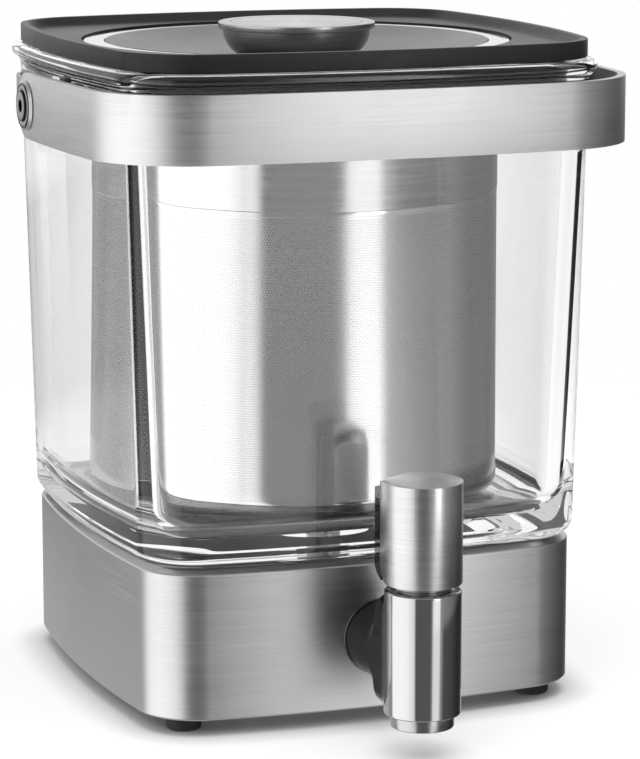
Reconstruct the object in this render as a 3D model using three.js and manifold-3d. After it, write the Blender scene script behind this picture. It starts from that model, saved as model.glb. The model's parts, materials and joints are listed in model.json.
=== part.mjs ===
// Cold brew coffee maker: a square glass jar on a steel base, with a steeper inside and a tap in front.
// Millimetres, +Z up, the front towards -Y. Pieces are made about the upright axis of the jar and then moved by
// standY, so that the origin lies on the surface it stands on, under the middle of the whole.
import * as THREE from 'three';
import Module from 'manifold-3d';
import { mergeVertices } from 'three/addons/utils/BufferGeometryUtils.js';

const wasm = await Module();
wasm.setup();

// Clearances shared by every fit
const fit = 0.3; // radial gap of a piece in its hole
const seat = 0.1; // gap under a piece that rests on another
const bowGap = 0.6; // gap of a flat piece behind the bowed front
const overrun = 2; // how far a cutter runs past what it cuts

// Base shell: the square plan has bowed sides and round corners
const baseSetIn = 1.4; // of its sides from the jar's foot
const baseBow = 6.7; // how far the middle of a side stands out past its ends
const baseCorner = 20.4;
const shellBottom = 5.1;
const shellHeight = 47.4;
const shellWall = 1.2;
const shellEdge = 1.6; // round edge between side and top face

// Cover, frame and feet
const coverRecess = 0.6; // how far the cover lies up inside the shell
const coverPlate = 2.6;
const coverRim = 3.4;
const coverRimWall = 1.8;
const framePlate = 2.6;
const frameRibHeight = 5;
const frameRibWall = 1.8;
const postRadius = 7;
const footInset = 16.9; // of each foot's middle from the base's sides
const footRadius = 6.3;
const footBottomRadius = 5.6;
const footEdge = 0.7;
const footCupDepth = 1.2; // how deep the foot sits in the cover
const screwRadius = 1.8;
const screwLength = 15;
const screwHeadRadius = 3.6;
const screwHeadEdge = 0.7;
const screwHeadHeight = 1.9;
const screwHeadDepth = 2.4; // of the head's counterbore in the foot

// Jar
const padThickness = 1.3;
const padInset = 9; // of the pad's edge from the jar's foot
const padHoleGap = 2; // between the lower drain seal and the hole in the pad
const jarNeckHalf = 81.9; // half width of its neck at the middle of a side
const jarTaper = 3.2; // how much nearer the axis each side is at the foot
const jarBow = 7.6;
const jarCorner = 23.5;
const jarHeight = 155.7;
const jarWall = 6;
const jarFloor = 8;
const jarFootRound = 5;
const jarInnerRound = 10;
const beadOut = 3; // how far the rim bead stands out past the wall
const beadStart = 1; // how far out the wall stands where the bead begins
const beadHeight = 5.2;
const rimRound = 1.2;

// Drain in the middle of the jar's floor
const stemRadius = 8;
const drainBore = 4.6;
const drainHeadRadius = 12.5;
const drainHeadHeight = 1.6;
const drainHeadEdge = 0.8;
const drainHeadDepth = 0.5; // of the head's top under the floor
const sealThickness = 1.4;
const nutHeight = 5;
const nutAcross = 24; // across its flats, for the drain and the tap shank
const elbowRadius = 10.6;
const elbowSocket = 6;
const elbowFloor = 3;
const barbRadius = 6;
const barbLength = 15;
const barbStep = 0.7;
const hoseWall = 2;
const clipWidth = 5;
const clipThickness = 1;
const clipLugWidth = 4;
const clipLugHeight = 5;
const clipInset = 3.5; // of each clip from the hose's end

// Tap
const tapReach = 36.6; // from the shell's front face to the axis of the tap's body
const tapArmRise = 23.6; // of the arm's middle above the shell's lower edge
const armRadius = 11.9;
const armBore = 4;
const tapRadius = 12;
const tapBelowArm = 15.2; // from the arm's middle to the body's bottom
const tapAboveArm = 24; // and to its top
const tapEdge = 0.7;
const armRiseTop = 9.2; // how far the arm's back spreads upwards where it meets the body
const armRiseTopLength = 20;
const armRiseBottom = 3; // and how far its belly spreads downwards
const armRiseBottomLength = 9;
const armSquareShare = 2.6; // how much squarer the arm's section grows where it meets the body
const flangeThickness = 1;
const flangeLip = 0.5; // how far the flange stands out past the arm
const shankRadius = 7;
const shankInsideTap = 14;
const washerRadius = 12;
const washerThickness = 1.5;
const chamberRadius = 8.6;
const seatRadius = 4.6;
const seatHeight = 8.5; // of the valve seat above the body's bottom
const seatWeb = 3;
const nozzleRadius = 9.9;
const nozzleDrop = 4.1; // how far the nozzle ring shows under the body
const nozzleBore = 5.2;
const nozzleSpigot = 7.2;
const bonnetDepth = 11.5;
const neckRadius = 9.9;
const neckWaist = 1.1; // how much the neck ring is drawn in at its middle
const neckHeight = 2.2;
const neckTopRadius = 8.6; // of the flat top that the lever rocks on
const springPocketDepth = 6;

// Valve
const valveStemRadius = 2.5;
const stemTopAboveNeck = 3.6;
const collarRadius = 4.6;
const collarThickness = 1.4;
const collarAboveSeat = 10;
const cupRadius = 6.6;
const cupHeight = 8;
const cupWall = 1.8;
const stemKnobRadius = 3.6;
const stemKnobHeight = 2.4;
const springWire = 0.45;
const springRadius = 4;
const springTurns = 6;
const pinRadius = 1.25;
const pinHalfLength = 7;
const pinAboveNeck = 2.05;

// Lever
const leverRadius = 12.2;
const leverHeight = 31.8; // from its foot to the edge of its domed top
const leverDome = 2;
const sleeveWall = 1.3;
const sleeveSeam = 5.3; // where the sleeve ends behind the axis
const leverBack = 12.8; // the flat back of the core behind the axis
const coreSideStep = 0.5; // how far the core's sides lie in from the sleeve's
const coreBackRound = 2;
const coreHeelRound = 9;
const pinSlotTravel = 2.2;
const stemPocket = 4.9;

// Strap and its pivots
const strapStandOff = 10.6; // of its outside from the jar's neck
const strapBow = 6.7;
const strapCorner = 34;
const strapThickness = 2.6;
const strapHeight = 21.3;
const strapDrop = 5.1; // of its upper edge under the jar's rim
const strapEdge = 0.5;
const pivotRadius = 2.1;
const bandThickness = 1.4;
const bandHeight = 9;
const bandSplit = 3;
const bossRadius = 7;
const pivotWasherThickness = 0.6;
const pivotWasherRadius = 6;
const capRadius = 8.2;
const capThickness = 1.4;
const capRing = 1;
const capRingDepth = 0.4;
const capRecessRadius = 5.2;
const capRecessDepth = 0.7;
const pivotHeadHeight = 1.2;
const socketRadius = 2;
const socketDepth = 2.6;

// Jar lid
const lidOverhang = 1.2; // of its sides past the jar's neck
const lidBow = 10;
const lidCorner = 26.3;
const lidHeight = 5.9;
const lidFloorDepth = 2.6;
const lidRimWidth = 2.2;
const lidRimSlope = 1.6;
const lidEdge = 0.7;
const lidWell = 1.5; // wall round the opening
const ledgeThickness = 1.6;
const skirtDepth = 6.2;
const skirtWall = 2;
const skirtGap = 2.6; // between skirt and glass, taken up by the seal
const lidSealHeight = 3.6;
const sealSqueeze = 0.2; // left between a seal's lip and its wall

// Steeper
const steeperLedge = 5.4; // how far the lid's ledge reaches in under the flange
const steeperWall = 0.9;
const steeperLift = 2.5; // of its base above the jar's floor
const steeperBaseHeight = 5.6;
const steeperBaseRound = 4;
const steeperBaseDish = 1.2; // how far its middle is raised
const steeperBaseLand = 32.8; // radius of its raised middle
const steeperBaseSlope = 2.4;
const weldDrop = 45.9; // of the weld line under the jar's rim
const hem = 0.4;
const hemHeight = 1.4;
const meshInset = 0.2;
const collarFlange = 1.4;
const collarFlangeRound = 0.7;
const steeperRingSink = 0.5; // of the steeper lid's ring under the jar lid's floor
const steeperLidPlate = 1;
const steeperRingThickness = 1;
const steeperRingLap = 2.3; // how far the lid's ring reaches in past the steeper's wall
const dishDepth = 6.5;
const dishThickness = 2;
const dishLand = 18; // radius of the dish's flat middle
const dishCurveShare = 1.6; // how much of the dish's rise comes late
const plugWall = 1.6;
const plugDepth = 5.2;
const plugSealGap = 2; // between plug and collar, taken up by its seal
const plugSealHeight = 2.6;

// Knob
const knobCapRadius = 25.85;
const knobCapThickness = 2;
const knobCapEdge = 0.6;
const knobCapUnderEdge = 0.3;
const knobRise = 2.7; // of the knob's top above the jar lid
const knobBowlRadius = 24.4;
const knobFootRadius = 14;
const knobRecessRadius = 19;
const knobRecessDepth = 1.6;
const knobScrewRadius = 2.5;
const knobScrewHeadRadius = 5.5;
const knobScrewHeadHeight = 2.4;
const knobScrewHeadEdge = 0.8;
const knobScrewReach = 7;

// Fineness of round shapes
const roundSteps = 32;
const knobSteps = 24;
const middleSteps = 20;
const smallSteps = 10;
const sideSteps = 4;
const cornerSteps = 5;
const blendSteps = 8;
const turnSteps = 8;
const wireSides = 5;

// Levels and places that follow from the sizes above
const coverBottom = shellBottom + coverRecess;
const coverTop = coverBottom + coverPlate;
const footTop = coverBottom + footCupDepth - seat;
const shellTop = shellBottom + shellHeight;
const frameTop = shellTop - shellWall - seat;
const frameBottom = frameTop - framePlate;
const padBottom = shellTop + seat;
const jarBottom = padBottom + padThickness + seat;
const jarTop = jarBottom + jarHeight;
const jarFloorTop = jarBottom + jarFloor;
const beadBottom = jarTop - beadHeight;
const lidBottom = jarTop + fit;
const lidTop = lidBottom + lidHeight;
const lidFloor = lidTop - lidFloorDepth;
const baseHalf = jarNeckHalf - jarTaper - baseSetIn; // half width at the middle of a side
const frontFace = -baseHalf;
const footSpread = baseHalf - footInset;
const tapY = frontFace - tapReach;
const tapArmHeight = shellBottom + tapArmRise;
const tapBottom = tapArmHeight - tapBelowArm;
const tapTop = tapArmHeight + tapAboveArm;
const neckTop = tapTop + seat + neckHeight;
const leverBottom = neckTop + seat;
const seatTop = tapBottom + seatHeight;
const strapHalf = jarNeckHalf + strapStandOff;
const strapTop = jarTop - strapDrop;
const strapBottom = strapTop - strapHeight;
const strapMiddle = (strapBottom + strapTop) / 2;
const collarTop = lidFloor - steeperRingSink - steeperRingThickness - steeperLidPlate - 2 * seat;
const collarFlangeBottom = collarTop - collarFlange;
const ledgeTop = collarFlangeBottom - seat;
const skirtBottom = lidBottom - skirtDepth;
const steeperBottom = jarFloorTop + steeperLift;
const lidHalf = jarNeckHalf + lidOverhang;
const lidOpening = jarNeckHalf - jarWall - skirtGap - skirtWall - fit;
const steeperRadius = lidOpening - steeperLedge;
const steeperRim = lidOpening - 2 * fit;
const steeperRingInner = steeperRadius - steeperRingLap;
const weldLine = jarTop - weldDrop;
const knobTop = lidTop + knobRise;
const frontReach = baseHalf + tapReach + leverRadius;
const backReach = jarNeckHalf + beadOut;
const standY = (frontReach - backReach) / 2;

// Booleans and checks on closed surfaces
function clean(geometry) {
  const bare = geometry.clone();
  bare.deleteAttribute('normal');
  bare.deleteAttribute('uv');
  const merged = mergeVertices(bare);
  const index = [];
  for (let i = 0; i < merged.index.count; i += 3) {
    const [a, b, c] = [0, 1, 2].map((k) => merged.index.getX(i + k));
    if (a !== b && b !== c && c !== a) {
      index.push(a, b, c);
    }
  }
  merged.setIndex(index);
  return facingOut(merged);
}

function facingOut(geometry) {
  const { position } = geometry.attributes;
  const index = geometry.index.array;
  const [a, b, c] = [new THREE.Vector3(), new THREE.Vector3(), new THREE.Vector3()];
  let volume = 0;
  for (let i = 0; i < index.length; i += 3) {
    a.fromBufferAttribute(position, index[i]);
    b.fromBufferAttribute(position, index[i + 1]);
    c.fromBufferAttribute(position, index[i + 2]);
    volume += a.dot(b.cross(c));
  }
  if (volume < 0) {
    geometry.setIndex(Array.from(index).reverse());
  }
  return geometry;
}

function solid(geometry) {
  const closed = clean(geometry);
  const mesh = new wasm.Mesh({
    numProp: 3,
    vertProperties: Float32Array.from(closed.attributes.position.array),
    triVerts: Uint32Array.from(closed.index.array),
  });
  return new wasm.Manifold(mesh);
}

function surface(body) {
  const mesh = body.getMesh();
  const geometry = new THREE.BufferGeometry();
  geometry.setAttribute('position', new THREE.BufferAttribute(Float32Array.from(mesh.vertProperties), 3));
  geometry.setIndex(Array.from(mesh.triVerts));
  return geometry;
}

function join(...pieces) {
  return surface(pieces.map(solid).reduce((all, piece) => all.add(piece)));
}

function cut(piece, ...cutters) {
  return surface(cutters.map(solid).reduce((rest, cutter) => rest.subtract(cutter), solid(piece)));
}

function common(piece, other) {
  return surface(solid(piece).intersect(solid(other)));
}

// Square plan with bowed sides: an arc along each side, met by an arc round each corner
function plan(half, bow, corner) {
  const sideRadius = (half * half + bow * bow) / (2 * bow);
  const back = sideRadius - half;
  const reach = sideRadius - corner;
  const cornerPlace = (Math.sqrt(2 * reach * reach - back * back) - back) / 2;
  return { sideRadius, back, corner, cornerPlace, meet: Math.atan2(cornerPlace, cornerPlace + back) };
}

function planPoints(shape, inset) {
  const points = [];
  for (let side = 0; side < 4; side += 1) {
    const turned = (x, y) => new THREE.Vector2(x, y).rotateAround(new THREE.Vector2(), (side * Math.PI) / 2);
    const sideRadius = shape.sideRadius - inset;
    for (let i = 0; i < sideSteps; i += 1) {
      const angle = THREE.MathUtils.lerp(-shape.meet, shape.meet, i / sideSteps);
      points.push(turned(sideRadius * Math.cos(angle) - shape.back, sideRadius * Math.sin(angle)));
    }
    const corner = shape.corner - inset;
    for (let i = 0; i < cornerSteps; i += 1) {
      const angle = THREE.MathUtils.lerp(shape.meet, Math.PI / 2 - shape.meet, i / cornerSteps);
      const place = shape.cornerPlace;
      points.push(turned(place + corner * Math.cos(angle), place + corner * Math.sin(angle)));
    }
  }
  return points;
}

// Skin over rings of equally many points, closed by a fan at each end or round into itself
function skin(rings, closed) {
  const count = rings[0].length;
  const places = rings.flat().flatMap((point) => point.toArray());
  const index = [];
  const last = closed ? rings.length : rings.length - 1;
  for (let i = 0; i < last; i += 1) {
    const next = (i + 1) % rings.length;
    for (let k = 0; k < count; k += 1) {
      const [a, b] = [i * count + k, i * count + ((k + 1) % count)];
      const [c, d] = [next * count + k, next * count + ((k + 1) % count)];
      index.push(a, b, d, a, d, c);
    }
  }
  if (!closed) {
    for (const [end, base] of [[rings[0], 0], [rings.at(-1), (rings.length - 1) * count]]) {
      const middle = end.reduce((sum, point) => sum.add(point), new THREE.Vector3()).divideScalar(count);
      const centre = places.length / 3;
      places.push(...middle.toArray());
      for (let k = 0; k < count; k += 1) {
        const pair = [base + k, base + ((k + 1) % count)];
        index.push(centre, ...(base === 0 ? pair.reverse() : pair));
      }
    }
  }
  const geometry = new THREE.BufferGeometry();
  geometry.setAttribute('position', new THREE.Float32BufferAttribute(places, 3));
  geometry.setIndex(index);
  return facingOut(geometry);
}

// A profile of [inset, height] points carried round a plan
function planSweep(shape, profile, closed = false) {
  return skin(
    profile.map(([inset, z]) => planPoints(shape, inset).map((p) => new THREE.Vector3(p.x, p.y, z))),
    closed,
  );
}

// Points on an arc, from one angle to another in degrees
function arc(x, y, radius, from, to, steps) {
  return Array.from({ length: steps + 1 }, (_, i) => {
    const angle = THREE.MathUtils.degToRad(THREE.MathUtils.lerp(from, to, i / steps));
    return [x + radius * Math.cos(angle), y + radius * Math.sin(angle)];
  });
}

// Turned piece: a profile of [radius, height] points about the Z axis
function turned(profile, steps = roundSteps) {
  const geometry = new THREE.LatheGeometry(profile.map(([r, z]) => new THREE.Vector2(r, z)), steps);
  return geometry.rotateX(Math.PI / 2);
}

function ring(inner, outer, bottom, top, steps = roundSteps) {
  return turned([[inner, bottom], [outer, bottom], [outer, top], [inner, top], [inner, bottom]], steps);
}

function disc(radius, bottom, top, steps = roundSteps) {
  return turned([[0, bottom], [radius, bottom], [radius, top], [0, top]], steps);
}

function block(x0, x1, y0, y1, z0, z1) {
  const geometry = new THREE.BoxGeometry(x1 - x0, y1 - y0, z1 - z0);
  return geometry.translate((x0 + x1) / 2, (y0 + y1) / 2, (z0 + z1) / 2);
}

// Turned pieces laid along Y or X: their height becomes the place along that axis
function alongY(geometry) {
  return geometry.rotateX(-Math.PI / 2);
}

function alongX(geometry) {
  return geometry.rotateY(Math.PI / 2);
}

function hexagon(across, bottom, height) {
  const corner = across / Math.sqrt(3);
  return new THREE.CylinderGeometry(corner, corner, height, 6)
    .rotateX(Math.PI / 2)
    .translate(0, 0, bottom + height / 2);
}

// Base
const basePlan = plan(baseHalf, baseBow, baseCorner);

function baseShell() {
  const outer = shellEdge;
  const inner = shellEdge - shellWall;
  const body = planSweep(basePlan, [
    [outer, shellTop],
    ...arc(outer, shellTop - outer, outer, 90, 180, 3).slice(1),
    [0, shellBottom],
    [shellWall, shellBottom],
    ...arc(outer, shellTop - outer, inner, 180, 90, 2),
  ]);
  const behind = frontFace + shellWall + overrun;
  const shank = alongY(disc(shankRadius + fit, frontFace - overrun, behind, middleSteps));
  const drain = disc(stemRadius + fit, shellTop - shellWall - overrun, shellTop + overrun, middleSteps);
  return cut(body, shank.translate(0, 0, tapArmHeight), drain);
}

function footPlaces() {
  return [
    ['front_left', -footSpread, -footSpread],
    ['front_right', footSpread, -footSpread],
    ['rear_left', -footSpread, footSpread],
    ['rear_right', footSpread, footSpread],
  ];
}

function baseFrame() {
  const inset = shellWall + fit + shellEdge;
  const plate = planSweep(basePlan, [[inset, frameTop], [inset, frameBottom]]);
  const rib = planSweep(basePlan, [
    [inset, frameTop],
    [inset, frameBottom - frameRibHeight],
    [inset + frameRibWall, frameBottom - frameRibHeight],
    [inset + frameRibWall, frameTop],
  ], true);
  const post = (x, y) => disc(postRadius, coverTop + seat, frameTop, smallSteps).translate(x, y, 0);
  const pilot = (x, y) => disc(screwRadius + seat, coverTop - overrun, coverTop + screwLength, smallSteps)
    .translate(x, y, 0);
  const places = footPlaces();
  const body = join(plate, rib, ...places.map(([, x, y]) => post(x, y)));
  const drain = disc(stemRadius + fit, frameBottom - overrun, frameTop + overrun, middleSteps);
  const nutRoom = alongY(disc(nutAcross / Math.sqrt(3) + fit, frontFace, shankNutFace + fit, middleSteps))
    .translate(0, 0, tapArmHeight);
  return cut(body, drain, nutRoom, ...places.map(([, x, y]) => pilot(x, y)));
}

function baseCover() {
  const inset = shellWall + fit;
  const plate = planSweep(basePlan, [
    [inset, coverBottom],
    [inset, coverTop + coverRim],
    [inset + coverRimWall, coverTop + coverRim],
    [inset + coverRimWall, coverTop],
  ]);
  const cups = footPlaces().flatMap(([, x, y]) => [
    disc(footRadius + fit, coverBottom - overrun, coverBottom + footCupDepth, smallSteps).translate(x, y, 0),
    disc(screwRadius + fit, coverBottom - overrun, coverTop + overrun, smallSteps).translate(x, y, 0),
  ]);
  return cut(plate, ...cups);
}

function foot() {
  const hole = screwRadius + fit;
  const counterbore = screwHeadRadius + fit;
  return turned([
    [counterbore, 0],
    [footBottomRadius - footEdge, 0],
    [footBottomRadius, footEdge],
    [footRadius, footTop],
    [hole, footTop],
    [hole, screwHeadDepth],
    [counterbore, screwHeadDepth],
    [counterbore, 0],
  ], smallSteps);
}

function footScrew() {
  const high = screwHeadDepth - seat;
  const low = high - screwHeadHeight;
  return turned([
    [0, low],
    [screwHeadRadius - screwHeadEdge, low],
    [screwHeadRadius, low + screwHeadEdge],
    [screwHeadRadius, high],
    [screwRadius, high],
    [screwRadius, high + screwLength],
    [0, high + screwLength + screwRadius / 2],
  ], smallSteps);
}

// Jar: its wall leans outwards from foot to neck
const jarPlan = plan(jarNeckHalf, jarBow, jarCorner);

function jarInset(z) {
  return (jarTaper * (beadBottom - z)) / (beadBottom - jarBottom);
}

function glassJar() {
  const innerFoot = jarInset(jarFloorTop + jarInnerRound) + jarWall + jarInnerRound;
  const beadRadius = beadHeight / 2;
  const outer = [
    ...arc(jarInset(jarBottom) + jarFootRound, jarBottom + jarFootRound, jarFootRound, 270, 180, 3),
    [0, beadBottom - beadRadius],
    [-beadStart, beadBottom],
    ...arc(beadRadius - beadOut, beadBottom + beadRadius, beadRadius, 210, 90, 3),
  ];
  const inner = [
    ...arc(jarWall - rimRound, jarTop - rimRound, rimRound, 90, 0, 2),
    ...arc(innerFoot, jarFloorTop + jarInnerRound, jarInnerRound, 180, 270, 3),
  ];
  const body = planSweep(jarPlan, [...outer, ...inner]);
  const hole = disc(stemRadius + fit, jarBottom - overrun, jarFloorTop + overrun, middleSteps);
  const depth = drainHeadDepth + drainHeadHeight + sealThickness + 2 * seat;
  const counterbore = disc(drainHeadRadius + fit, jarFloorTop - depth, jarFloorTop + overrun, middleSteps);
  return cut(body, hole, counterbore);
}

function seatPad() {
  const edge = jarInset(jarBottom) + padInset;
  const plate = planSweep(jarPlan, [[edge, padBottom], [edge, padBottom + padThickness]]);
  const opening = drainHeadRadius + padHoleGap;
  return cut(plate, disc(opening, padBottom - overrun, padBottom + padThickness + overrun, middleSteps));
}

// Drain: everything on the jar's axis, from the floor down to the outlet elbow
const headTop = jarFloorTop - drainHeadDepth;
const headBottom = headTop - drainHeadHeight;
const nutBottom = frameBottom - seat - nutHeight;
const elbowTop = nutBottom - seat;
const barbEnd = elbowRadius + barbLength;

function drainFitting() {
  const stemBottom = elbowTop - elbowSocket + seat;
  return turned([
    [drainBore, headTop - drainHeadEdge],
    [drainBore + drainHeadEdge, headTop],
    [drainHeadRadius - drainHeadEdge, headTop],
    [drainHeadRadius, headTop - drainHeadEdge],
    [drainHeadRadius, headBottom],
    [stemRadius, headBottom],
    [stemRadius, stemBottom],
    [drainBore, stemBottom],
    [drainBore, headTop - drainHeadEdge],
  ], middleSteps);
}

function drainSeal(bottom, thickness) {
  return ring(stemRadius + fit, drainHeadRadius, bottom, bottom + thickness, middleSteps);
}

function drainNut() {
  return cut(
    hexagon(nutAcross, nutBottom, nutHeight),
    disc(stemRadius + fit, nutBottom - overrun, nutBottom + nutHeight + overrun, middleSteps),
  );
}

// Hose tail with two barbs, from its root to its end along Z
function hoseTail(root, end) {
  const way = Math.sign(end - root);
  const barb = Math.abs(end - root) / 3;
  const neck = barbRadius - barbStep;
  return turned([
    [0, root],
    [neck, root],
    [neck, root + way * barb],
    [barbRadius, root + way * barb],
    [neck, root + way * 2 * barb],
    [barbRadius, root + way * 2 * barb],
    [neck, end],
    [0, end],
  ], smallSteps);
}

function drainElbow() {
  const bottom = tapArmHeight - drainBore - elbowFloor;
  const body = disc(elbowRadius, bottom, elbowTop, middleSteps);
  const tail = alongY(hoseTail(-elbowRadius + overrun, -barbEnd)).translate(0, 0, tapArmHeight);
  const socket = disc(stemRadius + fit, elbowTop - elbowSocket, elbowTop + overrun, middleSteps);
  const bore = disc(drainBore, tapArmHeight - drainBore, elbowTop, smallSteps);
  const way = alongY(disc(armBore, -barbEnd - overrun, 0, smallSteps)).translate(0, 0, tapArmHeight);
  return cut(join(body, tail), socket, bore, way);
}

// Hose and clips lie along Y between the elbow's tail and the tap shank's
const shankNutFace = frontFace + shellWall + bowGap + washerThickness + seat + nutHeight;
const shankEnd = shankNutFace + seat + barbLength;
const hoseStart = -elbowRadius - fit;
const hoseEnd = shankNutFace + fit + seat;
const hoseInner = barbRadius + seat;
const hoseOuter = hoseInner + hoseWall;

function drainHose() {
  return alongY(ring(hoseInner, hoseOuter, hoseEnd, hoseStart, smallSteps)).translate(0, 0, tapArmHeight);
}

function hoseClip(start) {
  const outer = hoseOuter + seat + clipThickness;
  const end = start + clipWidth;
  const band = ring(hoseOuter + seat, outer, start, end, middleSteps);
  const half = clipLugWidth / 2;
  const lug = block(-half, half, outer - clipThickness / 2, outer + clipLugHeight, start, end);
  return alongY(join(band, lug)).translate(0, 0, tapArmHeight);
}

// Tap
const bodyBack = tapY + tapRadius;
const flangeFace = frontFace - seat;
const armStart = flangeFace - flangeThickness - seat;

function tapShank() {
  const thread = turned([
    [armBore, armStart - shankInsideTap],
    [shankRadius, armStart - shankInsideTap],
    [shankRadius, shankNutFace + seat],
    [barbRadius - barbStep, shankNutFace + seat],
    [barbRadius - barbStep, shankNutFace + barbLength / 3],
    [barbRadius, shankNutFace + barbLength / 3],
    [barbRadius - barbStep, shankEnd],
    [armBore, shankEnd],
    [armBore, armStart - shankInsideTap],
  ], smallSteps);
  return alongY(thread).translate(0, 0, tapArmHeight);
}

function shankWasher() {
  const start = frontFace + shellWall + bowGap;
  return alongY(ring(shankRadius + fit, washerRadius, start, start + washerThickness, middleSteps))
    .translate(0, 0, tapArmHeight);
}

function shankNut() {
  const start = shankNutFace - nutHeight;
  const nut = cut(
    hexagon(nutAcross - fit, start, nutHeight),
    disc(shankRadius + fit, start - overrun, start + nutHeight + overrun, middleSteps),
  );
  return alongY(nut).translate(0, 0, tapArmHeight);
}

function tapFlange() {
  const outer = armRadius + flangeLip;
  const back = flangeFace;
  const front = flangeFace - flangeThickness;
  return alongY(turned([
    [shankRadius + fit, back],
    [outer, back],
    [outer, front + flangeLip],
    [outer - flangeLip, front],
    [shankRadius + fit, front],
    [shankRadius + fit, back],
  ], middleSteps)).translate(0, 0, tapArmHeight);
}

// The arm grows taller and squarer towards the tap's body, so that the two blend in one curve
function concaveRise(length, y) {
  const share = THREE.MathUtils.clamp((bodyBack + length - y) / length, 0, 1);
  return 1 - Math.sqrt(1 - share * share);
}

function armSection(y) {
  const top = armRadius + armRiseTop * concaveRise(armRiseTopLength, y);
  const bottom = armRadius + armRiseBottom * concaveRise(armRiseBottomLength, y);
  const square = 2 + armSquareShare * concaveRise(armRiseBottomLength, y);
  return Array.from({ length: middleSteps }, (_, i) => {
    const angle = (2 * Math.PI * i) / middleSteps;
    const [c, s] = [Math.cos(angle), Math.sin(angle)];
    const x = armRadius * Math.sign(c) * Math.abs(c) ** (2 / square);
    const z = (s > 0 ? top : bottom) * Math.sign(s) * Math.abs(s) ** (2 / square);
    return new THREE.Vector3(x, y, tapArmHeight + z);
  });
}

function tapArm() {
  const blendStart = bodyBack + armRiseTopLength;
  const places = [armStart];
  for (let i = 0; i <= blendSteps; i += 1) {
    const share = Math.sin((Math.PI / 2) * (i / blendSteps));
    const y = THREE.MathUtils.lerp(blendStart, bodyBack, share);
    if (y < armStart - seat) {
      places.push(y);
    }
  }
  places.push((bodyBack + tapY) / 2, tapY);
  return skin(places.map(armSection), false);
}

function tapBody() {
  const barrel = turned([
    [0, tapBottom],
    [tapRadius - tapEdge, tapBottom],
    [tapRadius, tapBottom + tapEdge],
    [tapRadius, tapTop - tapEdge],
    [tapRadius - tapEdge, tapTop],
    [0, tapTop],
  ], roundSteps).translate(0, tapY, 0);
  const upDown = (radius, bottom, top) => disc(radius, bottom, top, middleSteps).translate(0, tapY, 0);
  const alongArm = (radius, from, to) => alongY(disc(radius, from, to, middleSteps))
    .translate(0, 0, tapArmHeight);
  return cut(
    join(barrel, tapArm()),
    upDown(chamberRadius, seatTop, tapTop + overrun),
    upDown(seatRadius, tapBottom - overrun, tapTop),
    upDown(nozzleSpigot, tapBottom - overrun, seatTop - seatWeb),
    alongArm(shankRadius + seat, armStart - shankInsideTap - seat, armStart + overrun),
    alongArm(armBore, tapY, armStart),
  );
}

function tapNozzle() {
  const top = tapBottom - seat;
  const bottom = top - nozzleDrop;
  return turned([
    [nozzleBore, bottom],
    [nozzleRadius - tapEdge, bottom],
    [nozzleRadius, bottom + tapEdge],
    [nozzleRadius, top],
    [nozzleSpigot - fit, top],
    [nozzleSpigot - fit, seatTop - seatWeb - seat],
    [nozzleBore, seatTop - seatWeb - seat],
    [nozzleBore, bottom],
  ], middleSteps).translate(0, tapY, 0);
}

function tapBonnet() {
  const bottom = tapTop - bonnetDepth;
  const flange = tapTop + seat;
  const pocket = springRadius + springWire + fit;
  const hole = valveStemRadius + fit;
  return turned([
    [pocket, bottom],
    [chamberRadius - fit, bottom],
    [chamberRadius - fit, flange],
    [neckRadius, flange],
    [neckRadius - neckWaist, flange + neckHeight / 2],
    [neckTopRadius, neckTop],
    [hole, neckTop],
    [hole, bottom + springPocketDepth],
    [pocket, bottom + springPocketDepth],
    [pocket, bottom],
  ], middleSteps).translate(0, tapY, 0);
}

// Valve: the cup closes the seat, the spring holds it down and the lever's pin lifts it
const cupBottom = seatTop + seat;
const knobBottom = cupBottom + cupHeight / 2 - stemKnobHeight / 2;
const collarBottom = seatTop + collarAboveSeat;
const springBottom = collarBottom + collarThickness + seat;
const springTop = tapTop - bonnetDepth + springPocketDepth - seat;
const pinHeight = neckTop + pinAboveNeck;

function seatCup() {
  const neck = valveStemRadius + seat;
  const knob = stemKnobRadius + seat;
  const knobTopLevel = knobBottom + stemKnobHeight + seat;
  return turned([
    [0, cupBottom],
    [cupRadius, cupBottom],
    [cupRadius, cupBottom + cupWall],
    [neck + cupWall, cupBottom + cupHeight],
    [neck, cupBottom + cupHeight],
    [neck, knobTopLevel],
    [knob, knobTopLevel],
    [knob, knobBottom - seat],
    [0, knobBottom - seat],
  ], middleSteps).translate(0, tapY, 0);
}

function valveStem() {
  const body = turned([
    [0, knobBottom],
    [stemKnobRadius, knobBottom],
    [stemKnobRadius, knobBottom + stemKnobHeight],
    [valveStemRadius, knobBottom + stemKnobHeight],
    [valveStemRadius, collarBottom],
    [collarRadius, collarBottom],
    [collarRadius, collarBottom + collarThickness],
    [valveStemRadius, collarBottom + collarThickness],
    [valveStemRadius, neckTop + stemTopAboveNeck],
    [0, neckTop + stemTopAboveNeck],
  ], smallSteps);
  const hole = alongX(disc(pinRadius + seat, -collarRadius, collarRadius, smallSteps))
    .translate(0, 0, pinHeight);
  return cut(body, hole).translate(0, tapY, 0);
}

class Helix extends THREE.Curve {
  getPoint(share, target = new THREE.Vector3()) {
    const angle = 2 * Math.PI * springTurns * share;
    const rise = THREE.MathUtils.lerp(springBottom + springWire, springTop - springWire, share);
    return target.set(springRadius * Math.cos(angle), springRadius * Math.sin(angle), rise);
  }
}

function valveSpring() {
  const round = arc(0, 0, springWire, 0, 360, wireSides).slice(1);
  const section = new THREE.Shape(round.map(([x, y]) => new THREE.Vector2(x, y)));
  const steps = springTurns * turnSteps;
  const wire = new THREE.ExtrudeGeometry(section, { steps, extrudePath: new Helix(), bevelEnabled: false });
  return wire.translate(0, tapY, 0);
}

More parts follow.
